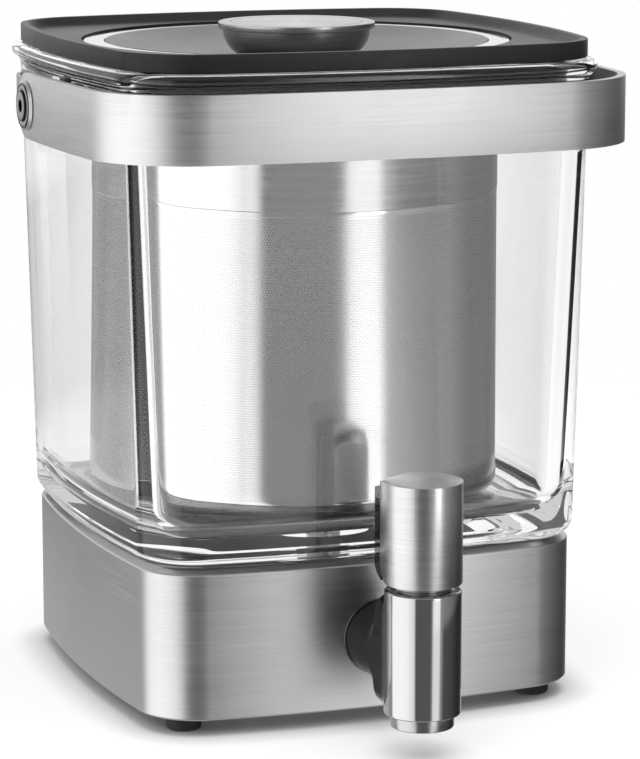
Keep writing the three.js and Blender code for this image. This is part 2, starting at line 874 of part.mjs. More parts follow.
function leverPin() {
  const pin = disc(pinRadius, -pinHalfLength, pinHalfLength, smallSteps);
  return alongX(pin).translate(0, tapY, pinHeight);
}

// Lever: a half round front with straight sides behind, under a domed top
const leverCeiling = leverBottom + leverHeight + leverDome + overrun;
const leverReach = leverRadius + overrun;

function leverShape(inset, back, backRound) {
  const radius = leverRadius - inset;
  const shape = new THREE.Shape();
  shape.absarc(0, 0, radius, Math.PI, 2 * Math.PI, false);
  shape.lineTo(radius, back - backRound);
  if (backRound > 0) {
    shape.absarc(radius - backRound, back - backRound, backRound, 0, Math.PI / 2, false);
    shape.absarc(backRound - radius, back - backRound, backRound, Math.PI / 2, Math.PI, false);
  } else {
    shape.lineTo(-radius, back);
  }
  return shape;
}

function raised(shape, bottom) {
  const depth = leverCeiling - bottom;
  return new THREE.ExtrudeGeometry(shape, { depth, bevelEnabled: false, curveSegments: smallSteps })
    .translate(0, 0, bottom);
}

function domed(geometry, lower) {
  const edge = leverBottom + leverHeight;
  const radius = (leverRadius * leverRadius + leverDome * leverDome) / (2 * leverDome);
  const rise = edge + leverDome - lower;
  const profile = arc(0, rise - radius, radius, 60, 90, 4).reverse();
  const outer = profile.at(-1)[0];
  const bowl = turned([...profile, [outer, leverBottom - overrun], [0, leverBottom - overrun]], middleSteps);
  return common(geometry, bowl);
}

function leverPart(y0, y1, z0, z1) {
  return block(-leverReach, leverReach, y0, y1, z0, z1);
}

function leverSleeve() {
  const below = leverBottom - overrun;
  const outside = domed(raised(leverShape(0, leverBack, coreBackRound), leverBottom), 0);
  const inside = domed(raised(leverShape(sleeveWall, leverBack + overrun, 0), below), sleeveWall);
  const behind = domed(raised(leverShape(-overrun, leverBack + overrun, 0), below), sleeveWall);
  const rear = leverPart(sleeveSeam, leverBack + overrun, below, leverCeiling);
  return cut(outside, inside, common(behind, rear)).translate(0, tapY, 0);
}

function leverCore() {
  const lower = sleeveWall + fit;
  const below = leverBottom - overrun;
  const front = domed(raised(leverShape(sleeveWall + fit, leverBack / 2, 0), leverBottom), lower);
  const rear = common(
    domed(raised(leverShape(coreSideStep, leverBack, coreBackRound), leverBottom), lower),
    leverPart(sleeveSeam + fit, leverBack + overrun, below, leverCeiling),
  );
  const heelY = leverBack - coreHeelRound;
  const heelZ = leverBottom + coreHeelRound;
  const heel = cut(
    leverPart(heelY, leverBack + overrun, below, heelZ),
    alongX(disc(coreHeelRound, -leverReach - overrun, leverReach + overrun)).translate(0, heelY, heelZ),
  );
  const side = valveStemRadius + fit;
  const pocket = block(-side, side, -stemPocket, stemPocket, below, leverBottom + stemPocket);
  const slotHalf = pinRadius + fit;
  const slotY = pinRadius + pinSlotTravel;
  const slotX = pinHalfLength + fit;
  const slot = block(-slotX, slotX, -slotY, slotY, pinHeight - slotHalf, pinHeight + slotHalf);
  return cut(join(front, rear), heel, pocket, slot).translate(0, tapY, 0);
}

// Strap: a ring on its own plan, cut off behind the pivots with round ends
const strapPlan = plan(strapHalf, strapBow, strapCorner);
const strapInner = strapHalf - strapThickness;

function carryHandle() {
  const [low, high] = [strapBottom, strapTop];
  const band = planSweep(strapPlan, [
    [strapEdge, low],
    [0, low + strapEdge],
    [0, high - strapEdge],
    [strapEdge, high],
    [strapThickness - strapEdge, high],
    [strapThickness, high - strapEdge],
    [strapThickness, low + strapEdge],
    [strapThickness - strapEdge, low],
  ], true);
  const reach = strapHalf + overrun;
  const front = block(-reach, reach, -reach, 0, low - overrun, high + overrun);
  const ends = alongX(disc(strapHeight / 2, -reach, reach, middleSteps)).translate(0, 0, strapMiddle);
  const bore = alongX(disc(pivotRadius + fit, -reach, reach, smallSteps)).translate(0, 0, strapMiddle);
  return cut(common(band, join(front, ends)), bore);
}

const bandInner = jarNeckHalf + fit;
const bandOuter = bandInner + bandThickness;
const washerStart = strapInner - fit - pivotWasherThickness;

function neckBand() {
  const low = strapMiddle - bandHeight / 2;
  const high = strapMiddle + bandHeight / 2;
  const [outer, inner] = [jarNeckHalf - bandOuter, jarNeckHalf - bandInner];
  const band = planSweep(jarPlan, [[outer, low], [outer, high], [inner, high], [inner, low]], true);
  const split = block(-bandSplit / 2, bandSplit / 2, 0, strapHalf, low - overrun, high + overrun);
  const screwHole = alongX(disc(pivotRadius + fit, -strapHalf, strapHalf, smallSteps))
    .translate(0, 0, strapMiddle);
  return cut(band, split, screwHole);
}

// Pieces on the left pivot point to -X and those on the right to +X
function onPivot(side, profile, steps = middleSteps) {
  const places = profile.map(([radius, x]) => [radius, side * x]);
  return alongX(turned(places, steps)).translate(0, 0, strapMiddle);
}

function pivotBoss(side) {
  const [start, end] = [bandOuter + fit, washerStart - seat];
  const hole = pivotRadius + seat;
  return onPivot(side, [[hole, start], [bossRadius, start], [bossRadius, end], [hole, end], [hole, start]]);
}

function pivotWasher(side) {
  const [start, end] = [washerStart, washerStart + pivotWasherThickness];
  const hole = pivotRadius + seat;
  return onPivot(side, [
    [hole, start],
    [pivotWasherRadius, start],
    [pivotWasherRadius, end],
    [hole, end],
    [hole, start],
  ]);
}

function pivotCap(side) {
  const start = strapHalf + seat;
  const end = start + capThickness;
  const groove = capRecessRadius + capRing;
  const hole = pivotRadius + fit;
  return onPivot(side, [
    [hole, start],
    [capRadius, start],
    [capRadius, end - capRingDepth],
    [capRadius - capRingDepth, end],
    [groove + capRing, end],
    [groove + capRing, end - capRingDepth],
    [groove, end - capRingDepth],
    [groove, end],
    [capRecessRadius, end],
    [capRecessRadius, end - capRecessDepth],
    [hole, end - capRecessDepth],
    [hole, start],
  ]);
}

function pivotScrew(side) {
  const seatLevel = strapHalf + capThickness - capRecessDepth + 2 * seat;
  const end = seatLevel + pivotHeadHeight;
  const head = capRecessRadius - fit;
  return onPivot(side, [
    [0, bandInner + seat],
    [pivotRadius, bandInner + seat],
    [pivotRadius, seatLevel],
    [head, seatLevel],
    [head, end - capRingDepth],
    [head - capRingDepth, end],
    [socketRadius, end],
    [socketRadius, end - socketDepth],
    [0, end - socketDepth],
  ], smallSteps);
}

// Jar lid: a rimmed plate with a round well for the steeper and a square skirt in the jar's mouth
const lidPlan = plan(lidHalf, lidBow, lidCorner);
const skirtInset = jarWall + skirtGap;

function jarLid() {
  const plate = planSweep(lidPlan, [
    [lidEdge, lidBottom],
    [0, lidBottom + lidEdge],
    [0, lidTop - lidEdge],
    [lidEdge, lidTop],
    [lidRimWidth, lidTop],
    [lidRimWidth + lidRimSlope, lidFloor + lidEdge],
    [lidRimWidth + lidRimSlope + lidEdge, lidFloor],
  ]);
  const skirt = planSweep(jarPlan, [
    [skirtInset, skirtBottom],
    [skirtInset, lidFloor - lidEdge],
    [skirtInset + skirtWall, lidFloor - lidEdge],
    [skirtInset + skirtWall, skirtBottom],
  ], true);
  const well = disc(lidOpening + lidWell, ledgeTop - ledgeThickness, lidFloor - lidEdge);
  const opening = disc(lidOpening, ledgeTop, lidTop);
  const mouth = disc(steeperRadius + fit, ledgeTop - ledgeThickness - overrun, lidTop);
  return cut(join(plate, skirt, well), opening, mouth);
}

function lidSeal() {
  const low = skirtBottom + seat;
  const high = low + lidSealHeight;
  const [inner, body, lip] = [skirtInset - seat, skirtInset - skirtGap / 2, jarWall + sealSqueeze];
  return planSweep(jarPlan, [
    [inner, low],
    [body, low],
    [lip, (low + high) / 2],
    [body, high],
    [inner, high],
  ], true);
}

// Steeper
function steeperCollar() {
  const inner = steeperRadius - steeperWall;
  return turned([
    [inner, weldLine + seat],
    [steeperRadius, weldLine + seat],
    [steeperRadius, collarFlangeBottom],
    [steeperRim, collarFlangeBottom],
    [steeperRim, collarTop - collarFlangeRound],
    [steeperRim - collarFlangeRound, collarTop],
    [inner + collarFlangeRound, collarTop],
    [inner, collarTop - collarFlangeRound],
    [inner, weldLine + seat],
  ]);
}

const meshBottom = steeperBottom + steeperBaseHeight + seat;

function steeperMesh() {
  const inner = steeperRadius - steeperWall;
  const wall = steeperRadius - meshInset;
  return turned([
    [inner, meshBottom],
    [wall + hem, meshBottom],
    [wall + hem, meshBottom + hemHeight],
    [wall, meshBottom + hemHeight + hem],
    [wall, weldLine - hemHeight - hem],
    [wall + hem, weldLine - hemHeight],
    [wall + hem, weldLine],
    [inner, weldLine],
    [inner, meshBottom],
  ]);
}

function steeperBase() {
  const top = steeperBottom + steeperBaseHeight;
  const inside = steeperBaseRound - steeperWall;
  const corner = [steeperRadius - steeperBaseRound, steeperBottom + steeperBaseRound];
  return turned([
    [0, steeperBottom + steeperBaseDish],
    [steeperBaseLand, steeperBottom + steeperBaseDish],
    [steeperBaseLand + steeperBaseSlope, steeperBottom],
    ...arc(...corner, steeperBaseRound, 270, 360, 3),
    [steeperRadius, top],
    [steeperRadius - steeperWall, top],
    ...arc(...corner, inside, 360, 270, 2),
    [steeperBaseLand + steeperBaseSlope, steeperBottom + steeperWall],
    [steeperBaseLand, steeperBottom + steeperBaseDish + steeperWall],
    [0, steeperBottom + steeperBaseDish + steeperWall],
  ]);
}

// Steeper lid: a dished plate under a flat ring, with a plug and its seal in the collar
const plateBottom = collarTop + seat;
const plateTop = plateBottom + steeperLidPlate;
const ringTop = plateTop + seat + steeperRingThickness;
const dishFloor = ringTop - dishDepth;
const plugOuter = steeperRadius - steeperWall - plugSealGap;
const plugBottom = plateBottom - plugDepth;

function dishHeight(radius) {
  const share = Math.max(radius - dishLand, 0) / (steeperRingInner - dishLand);
  return dishFloor + dishDepth * share ** dishCurveShare;
}

function steeperLid() {
  const hole = knobScrewRadius + fit;
  const edge = steeperRingInner - seat;
  const plugInner = plugOuter - plugWall;
  const dishRadii = Array.from({ length: 5 }, (_, i) => THREE.MathUtils.lerp(dishLand, edge, i / 4));
  const upper = dishRadii.map((radius) => [radius, dishHeight(radius)]);
  const under = dishRadii
    .filter((radius) => radius < plugInner)
    .map((radius) => [radius, dishHeight(radius) - dishThickness]);
  return turned([
    [hole, dishFloor],
    ...upper.slice(0, -1),
    [edge, ringTop],
    [edge, plateTop],
    [steeperRim, plateTop],
    [steeperRim, plateBottom],
    [plugOuter, plateBottom],
    [plugOuter, plugBottom],
    [plugInner, plugBottom],
    [plugInner, dishHeight(plugInner) - dishThickness],
    ...under.reverse(),
    [hole, dishFloor - dishThickness],
    [hole, dishFloor],
  ]);
}

function steeperLidRing() {
  const [low, high] = [plateTop + seat, ringTop];
  return turned([
    [steeperRingInner + seat, low],
    [steeperRim, low],
    [steeperRim, high - fit],
    [steeperRim - fit, high],
    [steeperRingInner + seat, high],
    [steeperRingInner + seat, low],
  ]);
}

function steeperLidSeal() {
  const inner = plugOuter + seat;
  const body = plugOuter + plugSealGap / 2;
  const lip = steeperRadius - steeperWall - sealSqueeze;
  const low = plugBottom + seat;
  const high = low + plugSealHeight;
  return turned([
    [inner, low],
    [body, low],
    [lip, (low + high) / 2],
    [body, high],
    [inner, high],
    [inner, low],
  ]);
}

// Knob: a bowl that stands in the dish, under a flat cap
const capBottom = knobTop - knobCapThickness;
const bowlTop = capBottom - seat;
const bowlBottom = dishFloor + seat;

function knobBody() {
  const [wide, tall] = [knobBowlRadius - knobFootRadius, bowlTop - bowlBottom];
  const side = arc(0, 0, 1, 270, 360, 6).map(([x, z]) => [knobFootRadius + wide * x, bowlTop + tall * z]);
  const hole = knobScrewRadius + seat;
  const holeTop = bowlBottom + knobScrewReach + fit;
  return turned([
    [0, holeTop],
    [hole, holeTop],
    [hole, bowlBottom],
    ...side,
    [knobRecessRadius, bowlTop],
    [knobRecessRadius, bowlTop - knobRecessDepth],
    [0, bowlTop - knobRecessDepth],
  ], knobSteps);
}

function knobCap() {
  const spigot = knobRecessRadius - fit;
  return turned([
    [0, bowlTop - knobRecessDepth + seat],
    [spigot, bowlTop - knobRecessDepth + seat],
    [spigot, capBottom],
    [knobCapRadius - knobCapUnderEdge, capBottom],
    [knobCapRadius, capBottom + knobCapUnderEdge],
    [knobCapRadius, knobTop - knobCapEdge],
    [knobCapRadius - knobCapEdge, knobTop],
    [0, knobTop],
  ], knobSteps);
}

function knobScrew() {
  const headHigh = dishFloor - dishThickness - seat;
  return turned([
    [0, headHigh - knobScrewHeadHeight],
    [knobScrewHeadRadius - knobScrewHeadEdge, headHigh - knobScrewHeadHeight],
    [knobScrewHeadRadius, headHigh - knobScrewHeadHeight + knobScrewHeadEdge],
    [knobScrewHeadRadius, headHigh],
    [knobScrewRadius, headHigh],
    [knobScrewRadius, bowlBottom + knobScrewReach],
    [0, bowlBottom + knobScrewReach],
  ], smallSteps);
}

// Materials: colour, roughness, metalness
const finishes = {
  brushedSteel: ['#b4b6b7', 0.36, 1],
  darkSteel: ['#77797b', 0.4, 1],
  polishedSteel: ['#c9cbcd', 0.12, 1],
  steelScrew: ['#8f9296', 0.35, 1],
  etchedSteel: ['#c2c4c5', 0.3, 1],
  blackPlastic: ['#26272a', 0.42, 0],
  greyPlastic: ['#5a5d60', 0.5, 0],
  clearGlass: ['#eef2f2', 0.03, 0],
  blackRubber: ['#141516', 0.8, 0],
  silicone: ['#d8dadb', 0.55, 0],
};

const product = new THREE.Group();

function add(name, finish, geometry) {
  const [colour, roughness, metalness] = finishes[finish];
  const material = new THREE.MeshStandardMaterial({ color: colour, roughness, metalness });
  const mesh = new THREE.Mesh(clean(geometry).translate(0, standY, 0), material);
  mesh.name = name;
  product.add(mesh);
  return mesh;
}

add('base_shell', 'brushedSteel', baseShell());
add('base_frame', 'greyPlastic', baseFrame());
add('base_cover', 'blackPlastic', baseCover());
for (const [place, x, y] of footPlaces()) {
  add(`foot_${place}`, 'blackRubber', foot()).position.set(x, y, 0);
  add(`foot_screw_${place}`, 'steelScrew', footScrew()).position.set(x, y, 0);
}

add('seat_pad', 'silicone', seatPad());
add('glass_jar', 'clearGlass', glassJar());

add('drain_fitting', 'steelScrew', drainFitting());
add('drain_seal_upper', 'silicone', drainSeal(headBottom - seat - sealThickness, sealThickness));
add('drain_seal_lower', 'silicone', drainSeal(padBottom, padThickness));
add('drain_nut', 'steelScrew', drainNut());
add('drain_elbow', 'greyPlastic', drainElbow());
add('drain_hose', 'silicone', drainHose());
add('hose_clip_rear', 'steelScrew', hoseClip(hoseStart - clipInset - clipWidth));
add('hose_clip_front', 'steelScrew', hoseClip(hoseEnd + clipInset));

add('tap_shank', 'steelScrew', tapShank());
add('shank_washer', 'blackRubber', shankWasher());
add('shank_nut', 'steelScrew', shankNut());
add('tap_flange', 'polishedSteel', tapFlange());
add('tap_body', 'polishedSteel', tapBody());
add('tap_nozzle', 'brushedSteel', tapNozzle());
add('tap_bonnet', 'darkSteel', tapBonnet());
add('seat_cup', 'silicone', seatCup());
add('valve_stem', 'steelScrew', valveStem());
add('valve_spring', 'steelScrew', valveSpring());
add('lever_pin', 'steelScrew', leverPin());
add('lever_core', 'polishedSteel', leverCore());
add('lever_sleeve', 'brushedSteel', leverSleeve());

add('neck_band', 'darkSteel', neckBand());
add('carry_handle', 'brushedSteel', carryHandle());
for (const [place, side] of [['left', -1], ['right', 1]]) {
  add(`pivot_boss_${place}`, 'blackPlastic', pivotBoss(side));
  add(`pivot_washer_${place}`, 'silicone', pivotWasher(side));
  add(`pivot_cap_${place}`, 'darkSteel', pivotCap(side));
  add(`pivot_screw_${place}`, 'steelScrew', pivotScrew(side));
}

add('jar_lid', 'blackPlastic', jarLid());
add('lid_seal', 'blackRubber', lidSeal());
add('steeper_collar', 'brushedSteel', steeperCollar());
add('steeper_mesh', 'etchedSteel', steeperMesh());
add('steeper_base', 'brushedSteel', steeperBase());
add('steeper_lid', 'greyPlastic', steeperLid());
add('steeper_lid_ring', 'polishedSteel', steeperLidRing());
add('steeper_lid_seal', 'blackRubber', steeperLidSeal());
add('knob_body', 'darkSteel', knobBody());
add('knob_cap', 'brushedSteel', knobCap());
add('knob_screw', 'steelScrew', knobScrew());

export default product;
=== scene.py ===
# %% [markdown]
# # Cold brew coffee maker
# A thick square glass jar stands on a low steel base. A steel mesh steeper hangs in it from a black lid, a wide steel
# strap swings round its neck, and a tap with a rocking lever lets the coffee out in front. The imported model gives
# every place and level. This script dresses it with finer surfaces, materials and light, one piece after the other.

# %% Frame
import json
import math

import bmesh
import bpy
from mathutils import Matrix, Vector

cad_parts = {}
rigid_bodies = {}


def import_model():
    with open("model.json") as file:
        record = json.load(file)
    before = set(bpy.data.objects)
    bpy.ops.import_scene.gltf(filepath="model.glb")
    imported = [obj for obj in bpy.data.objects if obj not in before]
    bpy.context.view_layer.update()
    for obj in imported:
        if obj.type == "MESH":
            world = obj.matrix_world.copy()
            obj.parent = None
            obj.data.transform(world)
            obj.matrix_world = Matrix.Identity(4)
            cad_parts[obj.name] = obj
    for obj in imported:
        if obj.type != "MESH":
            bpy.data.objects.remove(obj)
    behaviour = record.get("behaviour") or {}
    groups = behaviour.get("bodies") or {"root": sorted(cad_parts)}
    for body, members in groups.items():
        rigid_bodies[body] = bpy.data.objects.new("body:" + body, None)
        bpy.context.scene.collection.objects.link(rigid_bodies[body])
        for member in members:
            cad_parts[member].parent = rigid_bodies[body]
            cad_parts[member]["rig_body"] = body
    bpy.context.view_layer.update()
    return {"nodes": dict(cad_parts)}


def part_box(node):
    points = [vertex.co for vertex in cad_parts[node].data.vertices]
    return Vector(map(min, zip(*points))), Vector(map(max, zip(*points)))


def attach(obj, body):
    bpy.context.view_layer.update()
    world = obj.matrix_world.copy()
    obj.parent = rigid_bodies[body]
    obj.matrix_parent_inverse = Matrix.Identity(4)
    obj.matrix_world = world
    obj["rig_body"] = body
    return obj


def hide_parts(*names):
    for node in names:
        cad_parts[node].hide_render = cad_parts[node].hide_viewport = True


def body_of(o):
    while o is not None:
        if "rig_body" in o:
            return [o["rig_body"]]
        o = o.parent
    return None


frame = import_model()

# %% [markdown]
# ## Sizes
# Lengths are written in millimetres and turned into metres where a mesh is made. Levels are read from the packed
# nodes, so that a finer piece always sits where its solid does. The jar's upright axis is not the frame's own axis,
# because the tap stands out in front, so it is read from the steeper, which is round. Between two pieces lies a fit
# or, where one sits on the other, a thin seat. A cutter reaches past what it cuts.

# %% Levels and places
MM = 0.001
FIT = 0.3
SEAT = 0.1
PAST = 2
SIDES = (("left", -1), ("right", 1))
CORNERS = ("front_left", "front_right", "rear_left", "rear_right")


def span(node):
    """Lowest and highest corner of a node, in millimetres."""
    low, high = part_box(node)
    return Vector(low) / MM, Vector(high) / MM


def middle(node):
    low, high = span(node)
    return (low + high) / 2


def radius_of(node):
    """Half of a node's width, which is the radius of a round one."""
    low, high = span(node)
    return (high.x - low.x) / 2


AXIS = middle("steeper_collar")
TAP = middle("tap_nozzle")
print("jar axis", AXIS, "tap axis", TAP)

# %% [markdown]
# ## Ways of making a piece
# Nearly every part of this maker is either round or follows the same square outline with bowed sides. Both are made
# the way a potter coils clay: a circle of points is laid on the first ring of a shape, and then extruded from ring to
# ring. A round ring and a square one only differ in where the points go, so one function serves both. Points that
# fall together, as on the axis, are merged. Some turned pieces that cut or join another one start half a step round,
# so that no edge lies in a plane of the other. The number of steps round a piece grows with its size.

# %% Rings of points, extruded one from the other
MERGE = 0.002
SHARP_TURN = 12
SIDE_SHARE = 0.45
HALF_STEP = 0.5
SMALL_ROUND = 64
MIDDLE_ROUND = 128
LARGE_ROUND = 160


def deselect():
    for thing in bpy.context.selected_objects:
        thing.select_set(False)


def only(piece):
    deselect()
    piece.select_set(True)
    bpy.context.view_layer.objects.active = piece


def select_ring(piece, ring):
    mesh = bmesh.from_edit_mesh(piece.data)
    bpy.ops.mesh.select_all(action="DESELECT")
    mesh.verts.ensure_lookup_table()
    for i in ring:
        mesh.verts[i].select = True
    mesh.select_flush(True)
    bmesh.update_edit_mesh(piece.data)


def place_following(piece, ring, places):
    """Moves the points just extruded from a ring to their places and returns them as the new ring."""
    mesh = bmesh.from_edit_mesh(piece.data)
    mesh.verts.ensure_lookup_table()
    following = []
    for i, place in zip(ring, places):
        point = mesh.verts[i]
        new = next(edge.other_vert(point) for edge in point.link_edges if edge.other_vert(point).select)
        new.co = Vector(place) * MM
        following.append(new.index)
    bmesh.update_edit_mesh(piece.data)
    return following


def loft(name, rings, closed=False):
    """A skin over rings of equally many points. A closed one ends on its first ring again."""
    deselect()
    count = len(rings[0])
    bpy.ops.mesh.primitive_circle_add(vertices=count, radius=MM, location=(0, 0, 0))
    piece = bpy.context.active_object
    piece.name = piece.data.name = name
    for point, place in zip(piece.data.vertices, rings[0]):
        point.co = Vector(place) * MM
    bpy.ops.object.mode_set(mode="EDIT")
    bpy.ops.mesh.select_all(action="SELECT")
    ring = list(range(count))
    for places in rings[1:] + rings[:1] * closed:
        bpy.ops.mesh.extrude_edges_move()
        mesh = bmesh.from_edit_mesh(piece.data)
        mesh.verts.index_update()
        ring = place_following(piece, ring, places)
    if not closed:
        for end in (ring, range(count)):
            select_ring(piece, end)
            bpy.ops.mesh.edge_face_add()
    bpy.ops.mesh.select_all(action="SELECT")
    bpy.ops.mesh.remove_doubles(threshold=MERGE * MM)
    bpy.ops.mesh.normals_make_consistent(inside=False)
    bpy.ops.object.mode_set(mode="OBJECT")
    return piece


def softened(profile, radius, steps=4, closed=False):
    """A profile with each sharp corner rounded, as far as its shorter side leaves room."""
    points = [Vector(point) for point in profile]
    out = []
    for i, point in enumerate(points):
        if not closed and i in (0, len(points) - 1):
            out.append(point)
            continue
        before, after = points[i - 1] - point, points[(i + 1) % len(points)] - point
        turn = before.angle(-after, 0.0)
        reach = min(radius, SIDE_SHARE * before.length, SIDE_SHARE * after.length)
        if turn < math.radians(SHARP_TURN) or reach <= 0:
            out.append(point)
            continue
        start, end = point + before.normalized() * reach, point + after.normalized() * reach
        for k in range(steps + 1):
            share = k / steps
            out.append(start.lerp(point, share).lerp(point.lerp(end, share), share))
    return [tuple(point) for point in out]


def arc(x, y, radius, first, last, steps):
    """Points on an arc, from one angle to another in degrees."""
    angles = [math.radians(first + (last - first) * i / steps) for i in range(steps + 1)]
    return [(x + radius * math.cos(a), y + radius * math.sin(a)) for a in angles]


def rectangle(inner, outer, low, high):
    return [(inner, low), (outer, low), (outer, high), (inner, high)]


def lipped(node, inner, body, lip):
    """The profile of a seal whose lip stands out at half its height."""
    low, high = span(node)
    return [(inner, low.z), (body, low.z), (lip, (low.z + high.z) / 2), (body, high.z), (inner, high.z)]


def turned(name, profile, centre, axis="Z", closed=False, segments=96, start=0):
    """A profile of (radius, place along the axis) carried round an axis through the centre."""
    rings = []
    for radius, along in profile:
        ring = []
        for k in range(segments):
            angle = 2 * math.pi * (k + start) / segments
            a, b = radius * math.cos(angle), radius * math.sin(angle)
            ring.append({
                "Z": (centre[0] + a, centre[1] + b, along),
                "Y": (centre[0] + a, along, centre[2] + b),
                "X": (along, centre[1] + a, centre[2] + b),
            }[axis])
        rings.append(ring)
    return loft(name, rings, closed)


def turned_ring(name, profile, soft, centre, axis="Z", segments=96):
    """A turned piece with a hole through it and soft corners."""
    return turned(name, softened(profile, soft, closed=True), centre, axis, closed=True, segments=segments)


# %% [markdown]
# The square outline has four sides that bow outwards a little, each a long arc, met by a tighter arc round each
# corner. An outline that lies further in keeps the same centres and only takes smaller radii, as a true offset does.

# %% Square outline with bowed sides
SIDE_STEPS = 14
CORNER_STEPS = 16


def plan(half, bow, corner):
    """A square plan from half its width, the bow of its sides and the radius of its corners."""
    radius = (half * half + bow * bow) / (2 * bow)
    back = radius - half
    reach = radius - corner
    place = (math.sqrt(2 * reach * reach - back * back) - back) / 2
    return {"radius": radius, "back": back, "corner": corner, "place": place, "meet": math.atan2(place, place + back)}


def outline(shape, inset, z):
    """The ring of a plan at one inset and height, about the jar's axis."""
    points = []
    for side in range(4):
        turn = side * math.pi / 2
        flat = []
        for i in range(SIDE_STEPS):
            angle = shape["meet"] * (2 * i / SIDE_STEPS - 1)
            radius = shape["radius"] - inset
            flat.append((radius * math.cos(angle) - shape["back"], radius * math.sin(angle)))
        for i in range(CORNER_STEPS):
            angle = shape["meet"] + (math.pi / 2 - 2 * shape["meet"]) * i / CORNER_STEPS
            radius = max(shape["corner"] - inset, SEAT)
            flat.append((shape["place"] + radius * math.cos(angle), shape["place"] + radius * math.sin(angle)))
        for x, y in flat:
            points.append((
                AXIS.x + x * math.cos(turn) - y * math.sin(turn),
                AXIS.y + x * math.sin(turn) + y * math.cos(turn),
                z,
            ))
    return points


def swept(name, shape, profile, closed=False):
    """A profile of (inset, height) carried round a plan."""
    return loft(name, [outline(shape, inset, z) for inset, z in profile], closed)


# %% [markdown]
# Holes, slots and joined shapes are cut or joined with the Boolean modifier, which is applied at once. A piece is
# then finished: its normals are made to point outwards, its smooth faces are shaded smooth up to a limiting angle,
# it takes its material, the solid that it stands for is hidden, and it is tied to the body that carries it.

# %% Cutting, joining and finishing
def combine(piece, other, operation):
    only(piece)
    change = piece.modifiers.new(operation.lower(), "BOOLEAN")
    change.operation = operation
    change.solver = "EXACT"
    change.object = other
    bpy.ops.object.modifier_apply(modifier=change.name)
    bpy.data.objects.remove(other, do_unlink=True)
    return piece


def block(low, high):
    deselect()
    size = (Vector(high) - Vector(low)) * MM
    centre = (Vector(high) + Vector(low)) / 2 * MM
    bpy.ops.mesh.primitive_cube_add(size=1, location=centre, scale=size)
    piece = bpy.context.active_object
    bpy.ops.object.transform_apply(location=True, rotation=True, scale=True)
    return piece


def bevelled(piece, width, angle=40, segments=3):
    only(piece)
    change = piece.modifiers.new("edges", "BEVEL")
    change.width = width * MM
    change.segments = segments
    change.limit_method = "ANGLE"
    change.angle_limit = math.radians(angle)
    change.use_clamp_overlap = True
    bpy.ops.object.modifier_apply(modifier=change.name)
    return piece


def finish(piece, material, node=None, body=None, angle=32):
    """Ties a piece to the body of its node or, where no solid stands for it, to a named one."""
    only(piece)
    bpy.ops.object.mode_set(mode="EDIT")
    bpy.ops.mesh.select_all(action="SELECT")
    bpy.ops.mesh.normals_make_consistent(inside=False)
    bpy.ops.object.mode_set(mode="OBJECT")
    bpy.ops.object.shade_smooth_by_angle(angle=math.radians(angle))
    piece.data.materials.clear()
    piece.data.materials.append(material)
    if node:
        body = body_of(frame["nodes"][node])[0]
        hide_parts(node)
    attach(piece, body)
    print(piece.name, len(piece.data.polygons), "faces")
    return piece


# %% [markdown]
# ## Node groups
# Three effects come back in most finishes. Fine grain is noise stretched far along the direction of brushing. Patches
# are the broad soft differences that handling leaves. Edge wear brightens what stands out most. Each is a group that
# puts out a mask, and each material mixes those masks into its own colour, roughness and bump.

# %% Helpers for nodes
def new_group(name, output, **inputs):
    """A group that puts out one mask. An input with three numbers is a vector."""
    group = bpy.data.node_groups.new(name, "ShaderNodeTree")
    for title, value in inputs.items():
        kind = "NodeSocketVector" if isinstance(value, tuple) else "NodeSocketFloat"
        socket = group.interface.new_socket(title.replace("_", " "), in_out="INPUT", socket_type=kind)
        socket.default_value = value
    group.interface.new_socket(output, in_out="OUTPUT", socket_type="NodeSocketFloat")
    return group, group.nodes.new("NodeGroupInput").outputs, group.nodes.new("NodeGroupOutput").inputs[0]


def feed(tree, socket, value):
    """Links an output to a socket, or sets the socket to a plain value."""
    if isinstance(value, bpy.types.NodeSocket):
        tree.links.new(value, socket)
    else:
        socket.default_value = value


def math_node(tree, operation, *values, kind="ShaderNodeMath"):
    node = tree.nodes.new(kind)
    node.operation = operation
    for socket, value in zip(node.inputs, values):
        feed(tree, socket, value)
    return node.outputs[0]


def times(tree, first, second):
    return math_node(tree, "MULTIPLY", first, second)


def squares(tree, first, second):
    return math_node(tree, "ADD", times(tree, first, first), times(tree, second, second))


def length_of(tree, first, second):
    return math_node(tree, "SQRT", squares(tree, first, second))


def mapped(tree, value, low, high, to_low, to_high):
    node = tree.nodes.new("ShaderNodeMapRange")
    for socket, number in zip(node.inputs, (value, low, high, to_low, to_high)):
        feed(tree, socket, number)
    return node.outputs[0]


def mask_of(tree, value, zero, one):
    """0 at one end of a range and 1 at the other, which may be the lower end."""
    return mapped(tree, value, zero, one, 0, 1)


def by_mask(tree, mask, first, second):
    """The first value where a mask is 0 and the second where it is 1."""
    return mapped(tree, mask, 0, 1, first, second)


def here(tree, kind="Object"):
    return tree.nodes.new("ShaderNodeTexCoord").outputs[kind]


def place_from_axis(tree, offset):
    """Object coordinates, counted from the upright axis that stands at the offset."""
    return math_node(tree, "SUBTRACT", here(tree), offset, kind="ShaderNodeVectorMath")


def parts_of(tree, vector):
    node = tree.nodes.new("ShaderNodeSeparateXYZ")
    tree.links.new(vector, node.inputs[0])
    return node.outputs


def noise(tree, place, scale, detail, roughness):
    node = tree.nodes.new("ShaderNodeTexNoise")
    for title, value in (("Vector", place), ("Scale", scale), ("Detail", detail), ("Roughness", roughness)):
        feed(tree, node.inputs[title], value)
    return node.outputs[0]


# %% Straight grain, round grain, patches and worn edges
GRAIN_RANGE = (0.3, 0.7)
PATCH_RANGE = (0.35, 0.65)
WORN_RANGE = (0.52, 0.6)
TURN_STRETCH = 1.5


